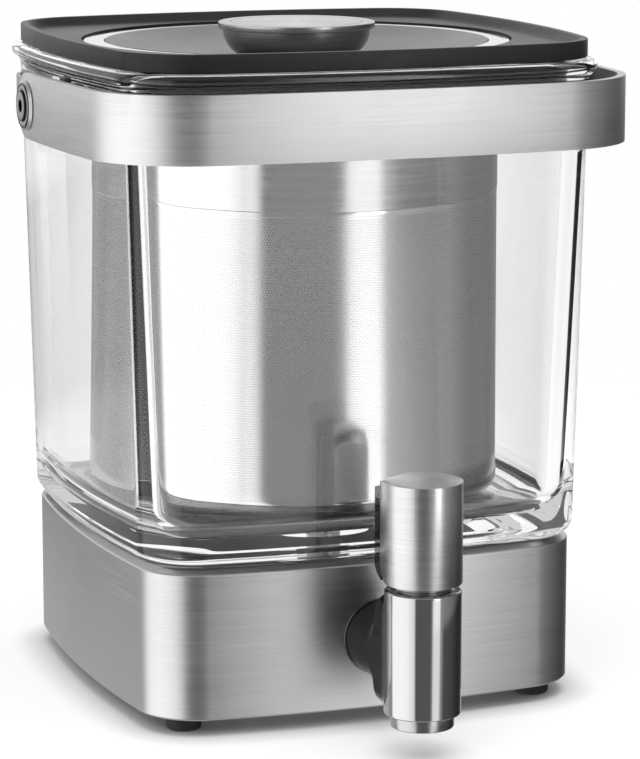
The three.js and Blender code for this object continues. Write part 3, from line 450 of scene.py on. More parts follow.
def straight_grain():
    group, given, out = new_group("straight_grain", "Streaks", Density=(30, 30, 2200))
    place = math_node(group, "MULTIPLY", here(group), given["Density"], kind="ShaderNodeVectorMath")
    group.links.new(mask_of(group, noise(group, place, 1, detail=3, roughness=0.65), *GRAIN_RANGE), out)
    return group


def round_grain():
    group, given, out = new_group("round_grain", "Streaks", Centre=(0, 0, 0), Density=2200)
    x, y = parts_of(group, place_from_axis(group, given["Centre"]))[:2]
    join = group.nodes.new("ShaderNodeCombineXYZ")
    group.links.new(times(group, length_of(group, x, y), given["Density"]), join.inputs[0])
    group.links.new(times(group, math_node(group, "ARCTAN2", x, y), TURN_STRETCH), join.inputs[1])
    group.links.new(mask_of(group, noise(group, join.outputs[0], 1, detail=2, roughness=0.5), *GRAIN_RANGE), out)
    return group


def patches():
    group, given, out = new_group("patches", "Patches", Density=25)
    cloud = noise(group, here(group), given["Density"], detail=4, roughness=0.55)
    group.links.new(mask_of(group, cloud, *PATCH_RANGE), out)
    return group


def edge_wear():
    group, given, out = new_group("edge_wear", "Worn", Amount=0.5)
    bulge = group.nodes.new("ShaderNodeNewGeometry").outputs["Pointiness"]
    group.links.new(times(group, mask_of(group, bulge, *WORN_RANGE), given["Amount"]), out)
    return group


GRAIN, ROUND, PATCHES, WEAR = straight_grain(), round_grain(), patches(), edge_wear()
print("groups", [group.name for group in (GRAIN, ROUND, PATCHES, WEAR)])

# %% [markdown]
# The steeper's sheet is etched with fine round holes in staggered rows. Modelling them would take over a hundred
# thousand holes, and from any normal distance they read as a fine even dot. So a group turns the place on the sleeve
# into rows and columns, and masks a round spot in each cell. The count round the sleeve is whole, so it closes. A
# spot's size is the square of its radius in cells: where it fades out, and where it is full.

# %% Etched holes
SPOT_RANGE = (0.09, 0.05)


def etched_holes():
    group, given, out = new_group(
        "etched_holes",
        "Holes",
        Centre=(0, 0, 0),
        Columns=400,
        Row_height=MM,
        Low=0,
        High=1,
    )
    x, y, z = parts_of(group, place_from_axis(group, given["Centre"]))
    turn = math_node(group, "DIVIDE", math_node(group, "ARCTAN2", x, y), 2 * math.pi)
    rows = math_node(group, "DIVIDE", z, given["Row height"])
    odd = math_node(group, "FLOORED_MODULO", math_node(group, "FLOOR", rows), 2)
    columns = math_node(group, "ADD", times(group, turn, given["Columns"]), times(group, odd, 0.5))
    across = math_node(group, "SUBTRACT", math_node(group, "FRACT", columns), 0.5)
    up = math_node(group, "SUBTRACT", math_node(group, "FRACT", rows), 0.5)
    spot = mask_of(group, squares(group, across, up), *SPOT_RANGE)
    above = math_node(group, "GREATER_THAN", z, given["Low"])
    below = math_node(group, "LESS_THAN", z, given["High"])
    group.links.new(times(group, spot, times(group, above, below)), out)
    return group


HOLES = etched_holes()

# %% [markdown]
# ## Materials
# A metal here is one Principled shader. Brushing spreads a reflection across the grain and keeps it sharp along it,
# which is what the anisotropic value does, turned by a quarter where the grain lies level. The grain group then
# breaks up colour, roughness and surface, and the patches keep large faces from looking like plastic film.

# %% Material helpers
LEVEL_GRAIN = 0.25
STEEL_WEAR, STEEL_WORN, STEEL_SPREAD = 0.4, 1.25, 0.05
PLASTIC_WEAR, PLASTIC_WORN, PLASTIC_SPREAD = 0.3, 1.8, 0.03
FAINT_GRAIN = (90, 90, 1500)
FAINT_SHADE = 0.97
POLISH_RANGE = (0.7, 1.3)


def opened(material):
    """A material's tree and its Principled shader."""
    tree = material.node_tree
    return tree, tree.nodes["Principled BSDF"]


def new_material(name, colour, metallic, roughness, **sockets):
    material = bpy.data.materials.new(name)
    material.use_nodes = True
    tree, shader = opened(material)
    shader.inputs["Base Color"].default_value = (*colour, 1)
    shader.inputs["Metallic"].default_value = metallic
    shader.inputs["Roughness"].default_value = roughness
    for title, value in sockets.items():
        shader.inputs[title.replace("_", " ")].default_value = value
    return material, tree, shader


def use_group(tree, group, **values):
    node = tree.nodes.new("ShaderNodeGroup")
    node.node_tree = group
    for title, value in values.items():
        node.inputs[title.replace("_", " ")].default_value = value
    return node.outputs[0]


def grey(value):
    return (value, value, value)


def blend(tree, share, first, second):
    """A colour between two, each of which is a grey value or comes from another node."""
    mix = tree.nodes.new("ShaderNodeMix")
    mix.data_type = "RGBA"
    tree.links.new(share, mix.inputs["Factor"])
    for title, value in (("A", first), ("B", second)):
        feed(tree, mix.inputs[title], value if isinstance(value, bpy.types.NodeSocket) else (*grey(value), 1))
    return mix.outputs["Result"]


def mix_shaders(tree, share, first, second):
    mix = tree.nodes.new("ShaderNodeMixShader")
    for socket, value in zip(mix.inputs, (share, first, second)):
        tree.links.new(value, socket)
    return mix.outputs[0]


def shader_of(tree, kind, **values):
    """The output of a new shader node whose inputs take the values."""
    node = tree.nodes.new(kind)
    for title, value in values.items():
        feed(tree, node.inputs[title], value)
    return node.outputs[0]


def bump(tree, shader, height, strength, distance):
    node = tree.nodes.new("ShaderNodeBump")
    node.inputs["Strength"].default_value = strength
    node.inputs["Distance"].default_value = distance * MM
    tree.links.new(height, node.inputs["Height"])
    tree.links.new(node.outputs[0], shader.inputs["Normal"])


def roughen(tree, shader, mask, rough, density, drift):
    """Roughness goes from one value of a pair to the other by a mask, and drifts by another pair with the patches."""
    patch = use_group(tree, PATCHES, Density=density)
    value = math_node(tree, "ADD", by_mask(tree, mask, *rough), by_mask(tree, patch, *drift))
    tree.links.new(value, shader.inputs["Roughness"])


def brushed(name, value, roughness, spread=0.5, density=(26, 26, 2600), centre=None, contrast=0.1, relief=0.07):
    """Brushed steel. With a centre the grain runs round it, and otherwise it lies level."""
    material, tree, shader = new_material(name, grey(value), 1, roughness, Anisotropic=spread)
    if centre is None:
        streaks = use_group(tree, GRAIN, Density=density)
        shader.inputs["Anisotropic Rotation"].default_value = LEVEL_GRAIN
    else:
        streaks = use_group(tree, ROUND, Centre=centre, Density=density[2])
    around = tree.nodes.new("ShaderNodeTangent")
    around.direction_type = "RADIAL"
    around.axis = "Z"
    tree.links.new(around.outputs[0], shader.inputs["Tangent"])
    steel = blend(tree, streaks, value * (1 - contrast), min(value * (1 + contrast), 1))
    worn = use_group(tree, WEAR, Amount=STEEL_WEAR)
    tree.links.new(blend(tree, worn, steel, min(value * STEEL_WORN, 1)), shader.inputs["Base Color"])
    rough = (roughness - STEEL_SPREAD, roughness + STEEL_SPREAD)
    roughen(tree, shader, streaks, rough, density=22, drift=(-0.02, 0.02))
    bump(tree, shader, streaks, relief, distance=0.02)
    return material


def polished(name, value, roughness):
    """Polished steel with faint traces of its grain."""
    material, tree, shader = new_material(name, grey(value), 1, roughness)
    patch = use_group(tree, PATCHES, Density=60)
    rough = by_mask(tree, patch, *(roughness * share for share in POLISH_RANGE))
    tree.links.new(rough, shader.inputs["Roughness"])
    streaks = use_group(tree, GRAIN, Density=FAINT_GRAIN)
    tree.links.new(blend(tree, streaks, value * FAINT_SHADE, value), shader.inputs["Base Color"])
    return material


def arm_painted_dark(name, value, dark, roughness, rougher, centre, fade):
    """Polished steel that turns darker and rougher with the distance from an upright axis: the dark is a painted dark
    reflection on the tap's arm.
    """
    material, tree, shader = new_material(name, grey(value), 1, roughness)
    x, y = parts_of(tree, place_from_axis(tree, centre))[:2]
    outside = mask_of(tree, length_of(tree, x, y), *(radius * MM for radius in fade))
    tree.links.new(blend(tree, outside, value, dark), shader.inputs["Base Color"])
    tree.links.new(by_mask(tree, outside, roughness, rougher), shader.inputs["Roughness"])
    return material


def moulded(name, value, roughness, fineness=1800, depth=0.03, shine=0.5):
    """Moulded plastic or rubber with a fine spark-eroded skin."""
    material, tree, shader = new_material(name, grey(value), 0, roughness, Specular_IOR_Level=shine)
    fine = use_group(tree, PATCHES, Density=fineness)
    worn = use_group(tree, WEAR, Amount=PLASTIC_WEAR)
    tree.links.new(blend(tree, worn, value, min(value * PLASTIC_WORN + 0.01, 1)), shader.inputs["Base Color"])
    rough = (roughness - PLASTIC_SPREAD, roughness + PLASTIC_SPREAD)
    roughen(tree, shader, fine, rough, density=30, drift=(-0.03, 0.03))
    bump(tree, shader, fine, strength=0.15, distance=depth)
    return material


# %% [markdown]
# Each finish is named for what it covers. The first number is its grey and the second its roughness. The density of a
# straight grain has one number for each direction, and the last, upright one is by far the highest.

# %% Finishes of this maker
ARM_PAINTED_DARK_FADE = (12.1, 12.9)
TURNED_GRAIN = (60, 60, 1500)
SHEET_GRAIN = (40, 40, 900)

axis_place = (AXIS.x * MM, AXIS.y * MM, 0)
tap_place = (TAP.x * MM, TAP.y * MM, 0)
STEEL_WALL = brushed("steel_level_grain", 0.59, 0.37, spread=0.35, relief=0.1)
STEEL_STRAP = brushed("steel_strap_grain", 0.64, 0.45, spread=0.35, density=(22, 22, 2200), contrast=0.12, relief=0.1)
STEEL_SLEEVE = brushed("steel_lever_sleeve", 0.62, 0.33, spread=0.35, density=(50, 50, 2400), contrast=0.12, relief=0.1)
STEEL_CAP = brushed("steel_round_grain", 0.48, 0.26, centre=axis_place, density=(0, 0, 1500))
DARK_BOWL = brushed("steel_dark_bowl", 0.3, 0.3, density=(40, 40, 2600))
DARK_SATIN = brushed("steel_dark_satin", 0.34, 0.32, density=TURNED_GRAIN, contrast=0.05)
STEEL_NOZZLE = brushed("steel_nozzle", 0.5, 0.24, density=TURNED_GRAIN, contrast=0.04)
NECK_STEEL = brushed("steel_neck", 0.5, 0.28, density=TURNED_GRAIN, contrast=0.05)
PLAIN_STEEL = polished("steel_turned", 0.5, 0.3)
POLISHED = polished("steel_polished", 0.62, 0.07)
# The flange and the tap's arm are painted dark: a painted dark reflection on polished steel.
FLANGE_PAINTED_DARK = polished("steel_flange_painted_dark", 0.14, 0.2)
TAP_STEEL_ARM_PAINTED_DARK = arm_painted_dark("steel_tap_arm_painted_dark", 0.58, 0.08, 0.07, 0.26, tap_place, ARM_PAINTED_DARK_FADE)
BLACK_LID = moulded("plastic_black_satin", 0.018, 0.36, shine=0.18)
BLACK_PLASTIC = moulded("plastic_black", 0.015, 0.5)
GREY_DISH = moulded("plastic_grey_satin", 0.07, 0.36)
GREY_PLASTIC = moulded("plastic_grey_inner", 0.1, 0.5)
BLACK_RUBBER = moulded("rubber_black", 0.01, 0.7, fineness=900, depth=0.05)
SILICONE = moulded("silicone_milky", 0.6, 0.5, fineness=700)
PAD_SILICONE = moulded("silicone_grey", 0.6, 0.5, fineness=700)
print("finishes", len(bpy.data.materials))

# %% [markdown]
# The steeper is of smooth steel, and its cup is painted darker than its collar, as painted shade low in the jar. The
# sleeve has the etched holes: their spots are painted darker than the sheet between them, as painted shade seen
# through the holes, and they are rougher and sink in a little.

# %% Steeper steels
HOLE_PITCH = 0.9
ROW_PITCH = 0.8
HEM = 2.2
# The spots' darker grey is painted shade seen through the holes.
SHEET, SPOT_SHADE = 0.84, 0.67
SHEET_ROUGHNESS, SPOT_ROUGHNESS = 0.13, 0.27


def etched():
    low, high = span("steeper_mesh")
    material, tree, shader = new_material("steel_etched_mesh", grey(SHEET), 1, SHEET_ROUGHNESS)
    holes = use_group(
        tree,
        HOLES,
        Centre=axis_place,
        Columns=round(math.pi * (high.x - low.x) / HOLE_PITCH),
        Row_height=ROW_PITCH * MM,
        Low=(low.z + HEM) * MM,
        High=(high.z - HEM) * MM,
    )
    tree.links.new(blend(tree, holes, SHEET, SPOT_SHADE), shader.inputs["Base Color"])
    roughen(tree, shader, holes, (SHEET_ROUGHNESS, SPOT_ROUGHNESS), density=14, drift=(-0.02, 0.03))
    bump(tree, shader, math_node(tree, "SUBTRACT", 1, holes), strength=0.035, distance=0.03)
    return material


ETCHED = etched()
STEEPER_STEEL = brushed("steel_steeper", 0.8, 0.13, spread=0.3, density=SHEET_GRAIN, contrast=0.03)
# The cup's darker grey is painted shade low in the jar.
STEEPER_CUP_PAINTED_SHADE = brushed("steel_steeper_cup_painted_shade", 0.24, 0.26, spread=0.3, density=SHEET_GRAIN, contrast=0.03)
print("steeper", ETCHED.name, STEEPER_STEEL.name, STEEPER_CUP_PAINTED_SHADE.name)

# %% [markdown]
# Clear glass is a Principled shader with full transmission. The jar's looks come from its real thickness: the heavy
# floor, the rounded foot and the rolled rim bend what stands behind them. A ray that is thrown back inside the wall
# again and again would run out of bounces and come out black. So after a few of them the glass lets it straight
# through. Between two levels at the jar's neck this turns into black that starts one bounce earlier: painted shade
# that darkens the neck.

# %% Glass
CLEAR = (0.985, 0.992, 0.988)
DEEP_BOUNCE = 2.5
NECK_SHADE_LEVELS = (185, 165)


def clear_glass():
    material, tree, shader = new_material("clear_glass", CLEAR, 0, 0, Transmission_Weight=1, IOR=1.5)
    bump(tree, shader, use_group(tree, PATCHES, Density=18), strength=0.04, distance=0.05)
    # Above the neck levels a deep ray ends black: painted shade on the jar's neck.
    low = mask_of(tree, parts_of(tree, here(tree))[2], *(level * MM for level in NECK_SHADE_LEVELS))
    bounces = tree.nodes.new("ShaderNodeLightPath").outputs["Glossy Depth"]
    deep = math_node(tree, "GREATER_THAN", math_node(tree, "SUBTRACT", bounces, low), DEEP_BOUNCE)
    through = shader_of(tree, "ShaderNodeBsdfTransparent", Color=blend(tree, low, 0, 1))
    surface = mix_shaders(tree, deep, shader.outputs[0], through)
    tree.links.new(surface, tree.nodes["Material Output"].inputs["Surface"])
    return material


GLASS = clear_glass()
print("glass", GLASS.name)

# %% [markdown]
# ## Base
# The base is one drawn steel shell: its wall turns into the top face over a round edge, and its lower edge is rolled
# in a little. Four rubber feet lift it off the table.

# %% Base shell and feet
BASE_BOW = 6.7
BASE_CORNER = 20.4
SHELL_WALL = 1.2
SHELL_EDGE = 0.7
SHELL_TOP = 1.2
SHELL_STEPS = 6

shell_low, shell_high = span("base_shell")
BASE_PLAN = plan(shell_high.x, BASE_BOW, BASE_CORNER)


def base_shell():
    low, high = shell_low.z, shell_high.z
    profile = [
        (SHELL_WALL + SHELL_EDGE, high - SHELL_TOP),
        (SHELL_WALL, high - SHELL_TOP - SHELL_EDGE),
        (SHELL_WALL, low + FIT),
        (SHELL_WALL / 2, low),
        (0, low + SHELL_WALL / 2),
        *reversed(arc(SHELL_EDGE, high - SHELL_EDGE, SHELL_EDGE, 90, 180, SHELL_STEPS)),
    ]
    return swept("base_shell_skin", BASE_PLAN, profile)


finish(base_shell(), STEEL_WALL, "base_shell")

FOOT_BOTTOM = 5.6
FOOT_BORE = 3.9
FOOT_SCREW_BORE = 2.1
FOOT_BORE_DEPTH = 2.4
FOOT_SOFT = 0.7
FOOT_STEPS = 48


def foot(name, node):
    low, high = span(node)
    radius = radius_of(node)
    profile = [
        (FOOT_BORE, low.z),
        (FOOT_BOTTOM, low.z),
        (radius, high.z - radius / 3),
        (radius, high.z),
        (FOOT_SCREW_BORE, high.z),
        (FOOT_SCREW_BORE, low.z + FOOT_BORE_DEPTH),
        (FOOT_BORE, low.z + FOOT_BORE_DEPTH),
    ]
    return turned_ring(name, profile, FOOT_SOFT, middle(node), segments=FOOT_STEPS)


for corner in CORNERS:
    finish(foot(f"rubber_foot_{corner}", f"foot_{corner}"), BLACK_RUBBER, f"foot_{corner}")

# %% [markdown]
# ## Glass jar
# The jar is pressed glass. Its outline is the same bowed square, a little larger at the neck than at the foot, so the
# profile's inset grows on the way down. Inside, the wall is thin where the lid's skirt goes in, and grows heavier
# towards the floor. A rolled bead stiffens the rim, and a shallow moulded groove runs under the foot. The hole for the
# drain is cut afterwards with its wider seat above it.

# %% Jar
JAR_NECK = 81.9
JAR_FOOT = 78.7
JAR_BOW = 7.6
JAR_CORNER = 23.5
JAR_WALL = 6
JAR_FLOOR = 8
FOOT_ROUND = 5
INNER_ROUND = 10
BEAD_HEIGHT = 5.2
BEAD_OUT = 3
BEAD_START = 1
RIM_ROUND = 1.2
DRAIN_STEM = 8
WALL_UPPER = 7
WALL_LOWER = 9
WALL_CHANGE = 8
INNER_CORNER = 6
GROOVE_START = 13
GROOVE_END = 34
GROOVE_RISE = 2.2
GROOVE_SLOPE = 5
GROOVE_CORNER = 4
CHANGE_STEPS = 4

jar_low, jar_high = span("glass_jar")
JAR_PLAN = plan(JAR_NECK, JAR_BOW, JAR_CORNER)
bead_bottom = jar_high.z - BEAD_HEIGHT
jar_floor = jar_low.z + JAR_FLOOR
skirt_end = span("jar_lid")[0].z


def jar_inset(z):
    return (JAR_NECK - JAR_FOOT) * (bead_bottom - z) / (bead_bottom - jar_low.z)


def wall_thickness(z):
    """Thin where the lid's skirt goes in, and heavier below it, more so towards the floor."""
    change = min(max((skirt_end - z) / WALL_CHANGE, 0), 1)
    lower = WALL_UPPER + (WALL_LOWER - WALL_UPPER) * (skirt_end - z) / (skirt_end - jar_floor)
    return JAR_WALL + (lower - JAR_WALL) * change


def jar_outline(inset, corner, z):
    """The jar's outline at an inset, with a corner radius of its own."""
    half, radius = JAR_NECK - inset, JAR_PLAN["radius"] - inset
    bow = radius - math.sqrt(radius * radius - half * half)
    return outline(plan(half, bow, corner), 0, z)


def glass_jar():
    bead = BEAD_HEIGHT / 2
    inner_foot = jar_inset(jar_floor + INNER_ROUND) + WALL_LOWER + INNER_ROUND
    edge = jar_inset(jar_low.z)
    groove = jar_low.z + GROOVE_RISE
    under = [
        (edge + GROOVE_END, jar_low.z),
        (edge + GROOVE_END - GROOVE_SLOPE, groove),
        (edge + GROOVE_START + GROOVE_SLOPE, groove),
        (edge + GROOVE_START, jar_low.z),
    ]
    outer = [
        *arc(edge + FOOT_ROUND, jar_low.z + FOOT_ROUND, FOOT_ROUND, 270, 180, 8),
        (0, bead_bottom - 2 * bead),
        (-BEAD_START / 4, bead_bottom - bead / 2),
        (-BEAD_START, bead_bottom),
        *arc(bead - BEAD_OUT, bead_bottom + bead, bead, 210, 90, 9),
    ]
    levels = [skirt_end - WALL_CHANGE * i / CHANGE_STEPS for i in range(CHANGE_STEPS + 1)]
    inner = [
        *arc(JAR_WALL - RIM_ROUND, jar_high.z - RIM_ROUND, RIM_ROUND, 90, 0, 4),
        (JAR_WALL, bead_bottom - bead),
        *[(jar_inset(z) + wall_thickness(z), z) for z in levels],
        *arc(inner_foot, jar_floor + INNER_ROUND, INNER_ROUND, 180, 270, 10),
    ]
    rings = [jar_outline(inset, max(JAR_CORNER - inset, GROOVE_CORNER), z) for inset, z in under]
    rings += [outline(JAR_PLAN, inset, z) for inset, z in outer]
    rings += [jar_outline(inset, max(JAR_CORNER - inset, INNER_CORNER), z) for inset, z in inner]
    jar = loft("jar_glass", rings)
    high = span("drain_fitting")[1]
    head, stem = radius_of("drain_fitting") + FIT, DRAIN_STEM + FIT
    seat_level = span("drain_seal_upper")[0].z - SEAT
    profile = [(stem, jar_low.z - PAST), (stem, seat_level), (head, seat_level), (head, high.z + PAST)]
    return combine(jar, turned("bore", profile, AXIS, segments=SMALL_ROUND), "DIFFERENCE")


finish(glass_jar(), GLASS, "glass_jar", angle=28)

# %% [markdown]
# Through the jar's floor one sees the drain, a turned steel fitting with its seal, and the soft pad that the jar
# stands on. The jar's weight presses its foot a hair into the pad, so no air shows between them.

# %% Drain and pad
DRAIN_BORE = 4.6
PAD_INSET = 9
PAD_HOLE = 14.5
PAD_PRESS = 0.03
PAD_LAND = 4
PAD_SOFT = 0.4
DRAIN_SOFT = 0.6
SEAL_SOFT = 0.3


def drain_fitting():
    low, high = span("drain_fitting")
    head = radius_of("drain_fitting")
    under = span("drain_seal_upper")[1].z + SEAT
    profile = [
        (DRAIN_BORE, low.z),
        (DRAIN_STEM, low.z),
        (DRAIN_STEM, under),
        (head, under),
        (head, high.z),
        (DRAIN_BORE, high.z),
    ]
    return turned_ring("drain_turned", profile, DRAIN_SOFT, AXIS, segments=SMALL_ROUND)


def flat_seal(name, node):
    low, high = span(node)
    profile = rectangle(DRAIN_STEM + FIT, radius_of(node), low.z, high.z)
    return turned_ring(name, profile, SEAL_SOFT, AXIS, segments=SMALL_ROUND)


def seat_pad():
    low, high = span("seat_pad")
    top = jar_low.z + PAD_PRESS
    edge = jar_inset(jar_low.z) + PAD_INSET
    profile = [(edge + PAD_LAND, low.z), (edge, low.z), (edge, top), (edge + PAD_LAND, top)]
    pad = swept("pad_soft", JAR_PLAN, softened(profile, PAD_SOFT))
    ends = [(PAD_HOLE, low.z - PAST / 2), (PAD_HOLE, high.z + PAST / 2)]
    hole = turned("hole", ends, AXIS, segments=SMALL_ROUND)
    return combine(pad, hole, "DIFFERENCE")


finish(drain_fitting(), PLAIN_STEEL, "drain_fitting")
for level in ("upper", "lower"):
    node = f"drain_seal_{level}"
    finish(flat_seal(f"drain_ring_{level}", node), SILICONE, node)
finish(seat_pad(), PAD_SILICONE, "seat_pad")

# %% [markdown]
# ## Strap and pivots
# The carrying strap is a flat steel band bent to a wider version of the square, cut off behind its pivots with round
# ends. The band is swept as a full ring first, and what stays is its part in common with a block joined to a rod of
# the strap's own height, so the ends come out truly round. A bevel then breaks all its edges.

# %% Carrying strap
STRAP_BOW = 6.7
STRAP_CORNER = 34
STRAP_THICKNESS = 2.6
STRAP_EDGE = 0.45
STRAP_PAST = 5

strap_low, strap_high = span("carry_handle")
PIVOT = Vector((AXIS.x, AXIS.y, (strap_low.z + strap_high.z) / 2))
STRAP_HALF = strap_high.x


def carry_strap():
    low, high = strap_low.z, strap_high.z
    reach = STRAP_HALF + STRAP_PAST
    profile = [(0, low), (0, high), (STRAP_THICKNESS, high), (STRAP_THICKNESS, low)]
    band = swept("strap_band", plan(STRAP_HALF, STRAP_BOW, STRAP_CORNER), profile, closed=True)
    keep = block((-reach, AXIS.y - reach, low - STRAP_PAST), (reach, AXIS.y, high + STRAP_PAST))
    rod = turned("rod", [((high - low) / 2, -reach), ((high - low) / 2, reach)], PIVOT, axis="X")
    combine(keep, rod, "UNION")
    return bevelled(combine(band, keep, "INTERSECT"), STRAP_EDGE, angle=50)


finish(carry_strap(), STEEL_STRAP, "carry_handle", angle=40)

# %% [markdown]
# The strap turns on a screw at each side, which goes through a boss on the band round the jar's neck. Outside, a
# turned cap with one groove covers the joint, and the screw's head with its socket fills the middle of the cap.

# %% Neck band, bosses, caps and screws
BAND_THICKNESS = 1.4
BAND_SPLIT = 3
CAP_RECESS = 5.2
CAP_RECESS_DEPTH = 0.7
CAP_GROOVE = 6.6
CAP_GROOVE_WIDTH = 0.5
CAP_GROOVE_DEPTH = 0.3
PIVOT_RADIUS = 2.1
SOCKET_RADIUS = 1.9
SOCKET_DEPTH = 2.6
CAP_EDGE_SHADE = (7.1, 0.25)
CAP_INNER_SHADE = (4.8, 0.35)
CAP_CHAMFER = 1.1
CAP_SHADE_GREY = 0.03
CAP_GREY = 0.5
CAP_ROUGH = (0.33, 0.4)
SCREW_HEAD = 1.2
BOSS_EDGE = 0.5
WASHER_EDGE = 0.15
SMALL_EDGE = 0.3


def neck_band():
    low, high = span("neck_band")
    inner = -FIT
    outer = inner - BAND_THICKNESS
    profile = [(outer, low.z), (outer, high.z), (inner, high.z), (inner, low.z)]
    band = swept("neck_band_ring", JAR_PLAN, softened(profile, SMALL_EDGE, closed=True), closed=True)
    gap = BAND_SPLIT / 2
    split = block((-gap, AXIS.y + JAR_FOOT / 2, low.z - PAST), (gap, high.y + STRAP_PAST, high.z + PAST))
    return combine(band, split, "DIFFERENCE")


def on_pivot(name, node, side, profile, closed):
    """A turned piece on a pivot, from a profile that counts outwards from the node's inner face."""
    low, high = span(node)
    start = low.x if side > 0 else -high.x
    places = [(radius, side * (start + out)) for radius, out in profile]
    return turned(name, places, PIVOT, axis="X", closed=closed, segments=SMALL_ROUND)


def ring_profile(node, inner, soft):
    """The profile of a plain ring round a pivot, which fills its node."""
    low, high = span(node)
    return softened(rectangle(inner, (high.z - low.z) / 2, 0, high.x - low.x), soft, closed=True)


def cap_profile(node):
    low, high = span(node)
    outer, thickness = (high.z - low.z) / 2, high.x - low.x
    hole = PIVOT_RADIUS + FIT
    profile = [
        (hole, 0),
        (outer, 0),
        (outer - CAP_CHAMFER, thickness),
        (CAP_GROOVE + CAP_GROOVE_WIDTH, thickness),
        (CAP_GROOVE + CAP_GROOVE_WIDTH, thickness - CAP_GROOVE_DEPTH),
        (CAP_GROOVE, thickness - CAP_GROOVE_DEPTH),
        (CAP_GROOVE, thickness),
        (CAP_RECESS, thickness),
        (CAP_RECESS, thickness - CAP_RECESS_DEPTH),
        (hole, thickness - CAP_RECESS_DEPTH),
    ]
    return softened(profile, SMALL_EDGE, closed=True)


def screw_profile(node):
    low, high = span(node)
    end = high.x - low.x
    head = CAP_RECESS - FIT
    profile = [
        (0, 0),
        (PIVOT_RADIUS, 0),
        (PIVOT_RADIUS, end - SCREW_HEAD),
        (head, end - SCREW_HEAD),
        (head, end),
        (SOCKET_RADIUS, end),
        (SOCKET_RADIUS, end - SOCKET_DEPTH),
        (0, end - SOCKET_DEPTH),
    ]
    return softened(profile, SMALL_EDGE)


def cap_painted_shade():
    """Grey steel with painted shade: a dark socket and two dark lines round the pivot, each line with its radius and
    half its width.
    """
    material, tree, shader = new_material("steel_cap_painted_shade", grey(CAP_GREY), 1, CAP_ROUGH[0])
    y, z = parts_of(tree, place_from_axis(tree, PIVOT * MM))[1:]
    radius = math_node(tree, "DIVIDE", length_of(tree, y, z), MM)
    edge = math_node(tree, "COMPARE", radius, *CAP_EDGE_SHADE)
    inner = math_node(tree, "COMPARE", radius, *CAP_INNER_SHADE)
    socket = math_node(tree, "LESS_THAN", radius, SOCKET_RADIUS + FIT)
    dark = math_node(tree, "MAXIMUM", math_node(tree, "MAXIMUM", edge, inner), socket)
    tree.links.new(blend(tree, dark, CAP_GREY, CAP_SHADE_GREY), shader.inputs["Base Color"])
    patch = use_group(tree, PATCHES, Density=400)
    tree.links.new(by_mask(tree, patch, *CAP_ROUGH), shader.inputs["Roughness"])
    return material


# The dark socket and lines on the caps and screws are painted shade.
CAP_PAINTED_SHADE = cap_painted_shade()
finish(neck_band(), DARK_SATIN, "neck_band")
for place, side in SIDES:
    boss, washer, cap, screw = (f"pivot_{part}_{place}" for part in ("boss", "washer", "cap", "screw"))
    hole = PIVOT_RADIUS + SEAT
    for node, profile, closed, material, slot in (
        (boss, ring_profile(boss, hole, BOSS_EDGE), True, BLACK_PLASTIC, "black_plastic"),
        (washer, ring_profile(washer, hole, WASHER_EDGE), True, SILICONE, "silicone"),
        (cap, cap_profile(cap), True, CAP_PAINTED_SHADE, "dark_steel"),
        (screw, screw_profile(screw), False, CAP_PAINTED_SHADE, "plain_steel"),
    ):
        finish(on_pivot(node.removeprefix("pivot_"), node, side, profile, closed), material, node)

# %% [markdown]
# In front of each pivot a small black catch stands on the neck band, with a bright pin that points at the boss. They
# show just above the strap's edge.

# %% Catches on the neck band
CATCH_LOW = Vector((81.5, -8.5, 195.5))
CATCH_HIGH = Vector((88, -2.5, 205.4))
CATCH_STEP = Vector((85.6, 0, 203))
PIN_RADIUS = 1.2
PIN_LENGTH = 9
PIN_DROP = 0.6
PIN_SOFT = 0.4
PIN_STEPS = 32
CATCH_EDGE = 0.5
OVERLAP = 1


def strap_catch(place, side):
    """Two blocks, the upper one further out, and the pin behind them."""
    levels = (CATCH_LOW.x, CATCH_LOW.z, CATCH_STEP.z), (CATCH_STEP.x, CATCH_STEP.z - OVERLAP, CATCH_HIGH.z)
    parts = []
    for inner, low, high in levels:
        ends = sorted((side * inner, side * CATCH_HIGH.x))
        parts.append(block((ends[0], CATCH_LOW.y, low), (ends[1], CATCH_HIGH.y, high)))
    body = combine(parts[0], parts[1], "UNION")
    body.name = body.data.name = f"strap_catch_{place}"
    centre = Vector((side * (CATCH_STEP.x + CATCH_HIGH.x) / 2, 0, CATCH_HIGH.z - PIN_RADIUS - PIN_DROP))
    start, end = CATCH_HIGH.y - OVERLAP, CATCH_HIGH.y + PIN_LENGTH
    profile = [(0, start), (PIN_RADIUS, start), (PIN_RADIUS, end), (0, end)]
    pin = turned(f"strap_catch_pin_{place}", softened(profile, PIN_SOFT), centre, axis="Y", segments=PIN_STEPS)
    return bevelled(body, CATCH_EDGE), pin


for place, side in SIDES:
    body, pin = strap_catch(place, side)
    finish(body, BLACK_PLASTIC, body="base_and_jar")
    finish(pin, POLISHED, body="base_and_jar")

# %% [markdown]
# ## Jar lid
# The lid is moulded in black plastic. Its plate has a narrow raised rim that slopes down to a flat floor, a square
# skirt below that enters the jar's mouth, and a round stepped opening for the steeper. The plate and the skirt follow
# two different outlines, so each is swept on its own and they are joined before the opening is cut.

# %% Lid and its seal
LID_BOW = 10
LID_CORNER = 26.3
LID_RIM = 2.2
LID_SLOPE = 1.6
LID_DEPTH = 2.6
LID_EDGE = 0.5
LID_OPENING = 71
LID_WELL = 1.5
LEDGE_DROP = 4.2
LEDGE_THICKNESS = 1.6
SKIRT_INSET = 8.6
SKIRT_WALL = 2
UNDER_LAND = 3
FLOOR_LAND = 4
SEAL_BODY = 1.3
LIP_GAP = 0.2
PLATE_STEPS = 3
LIP_SOFT = 0.4

lid_low, lid_high = span("jar_lid")
LID_PLAN = plan(lid_high.x, LID_BOW, LID_CORNER)
lid_floor = lid_high.z - LID_DEPTH
plate_bottom = span("glass_jar")[1].z + FIT
STEEPER_RADIUS = radius_of("steeper_base")


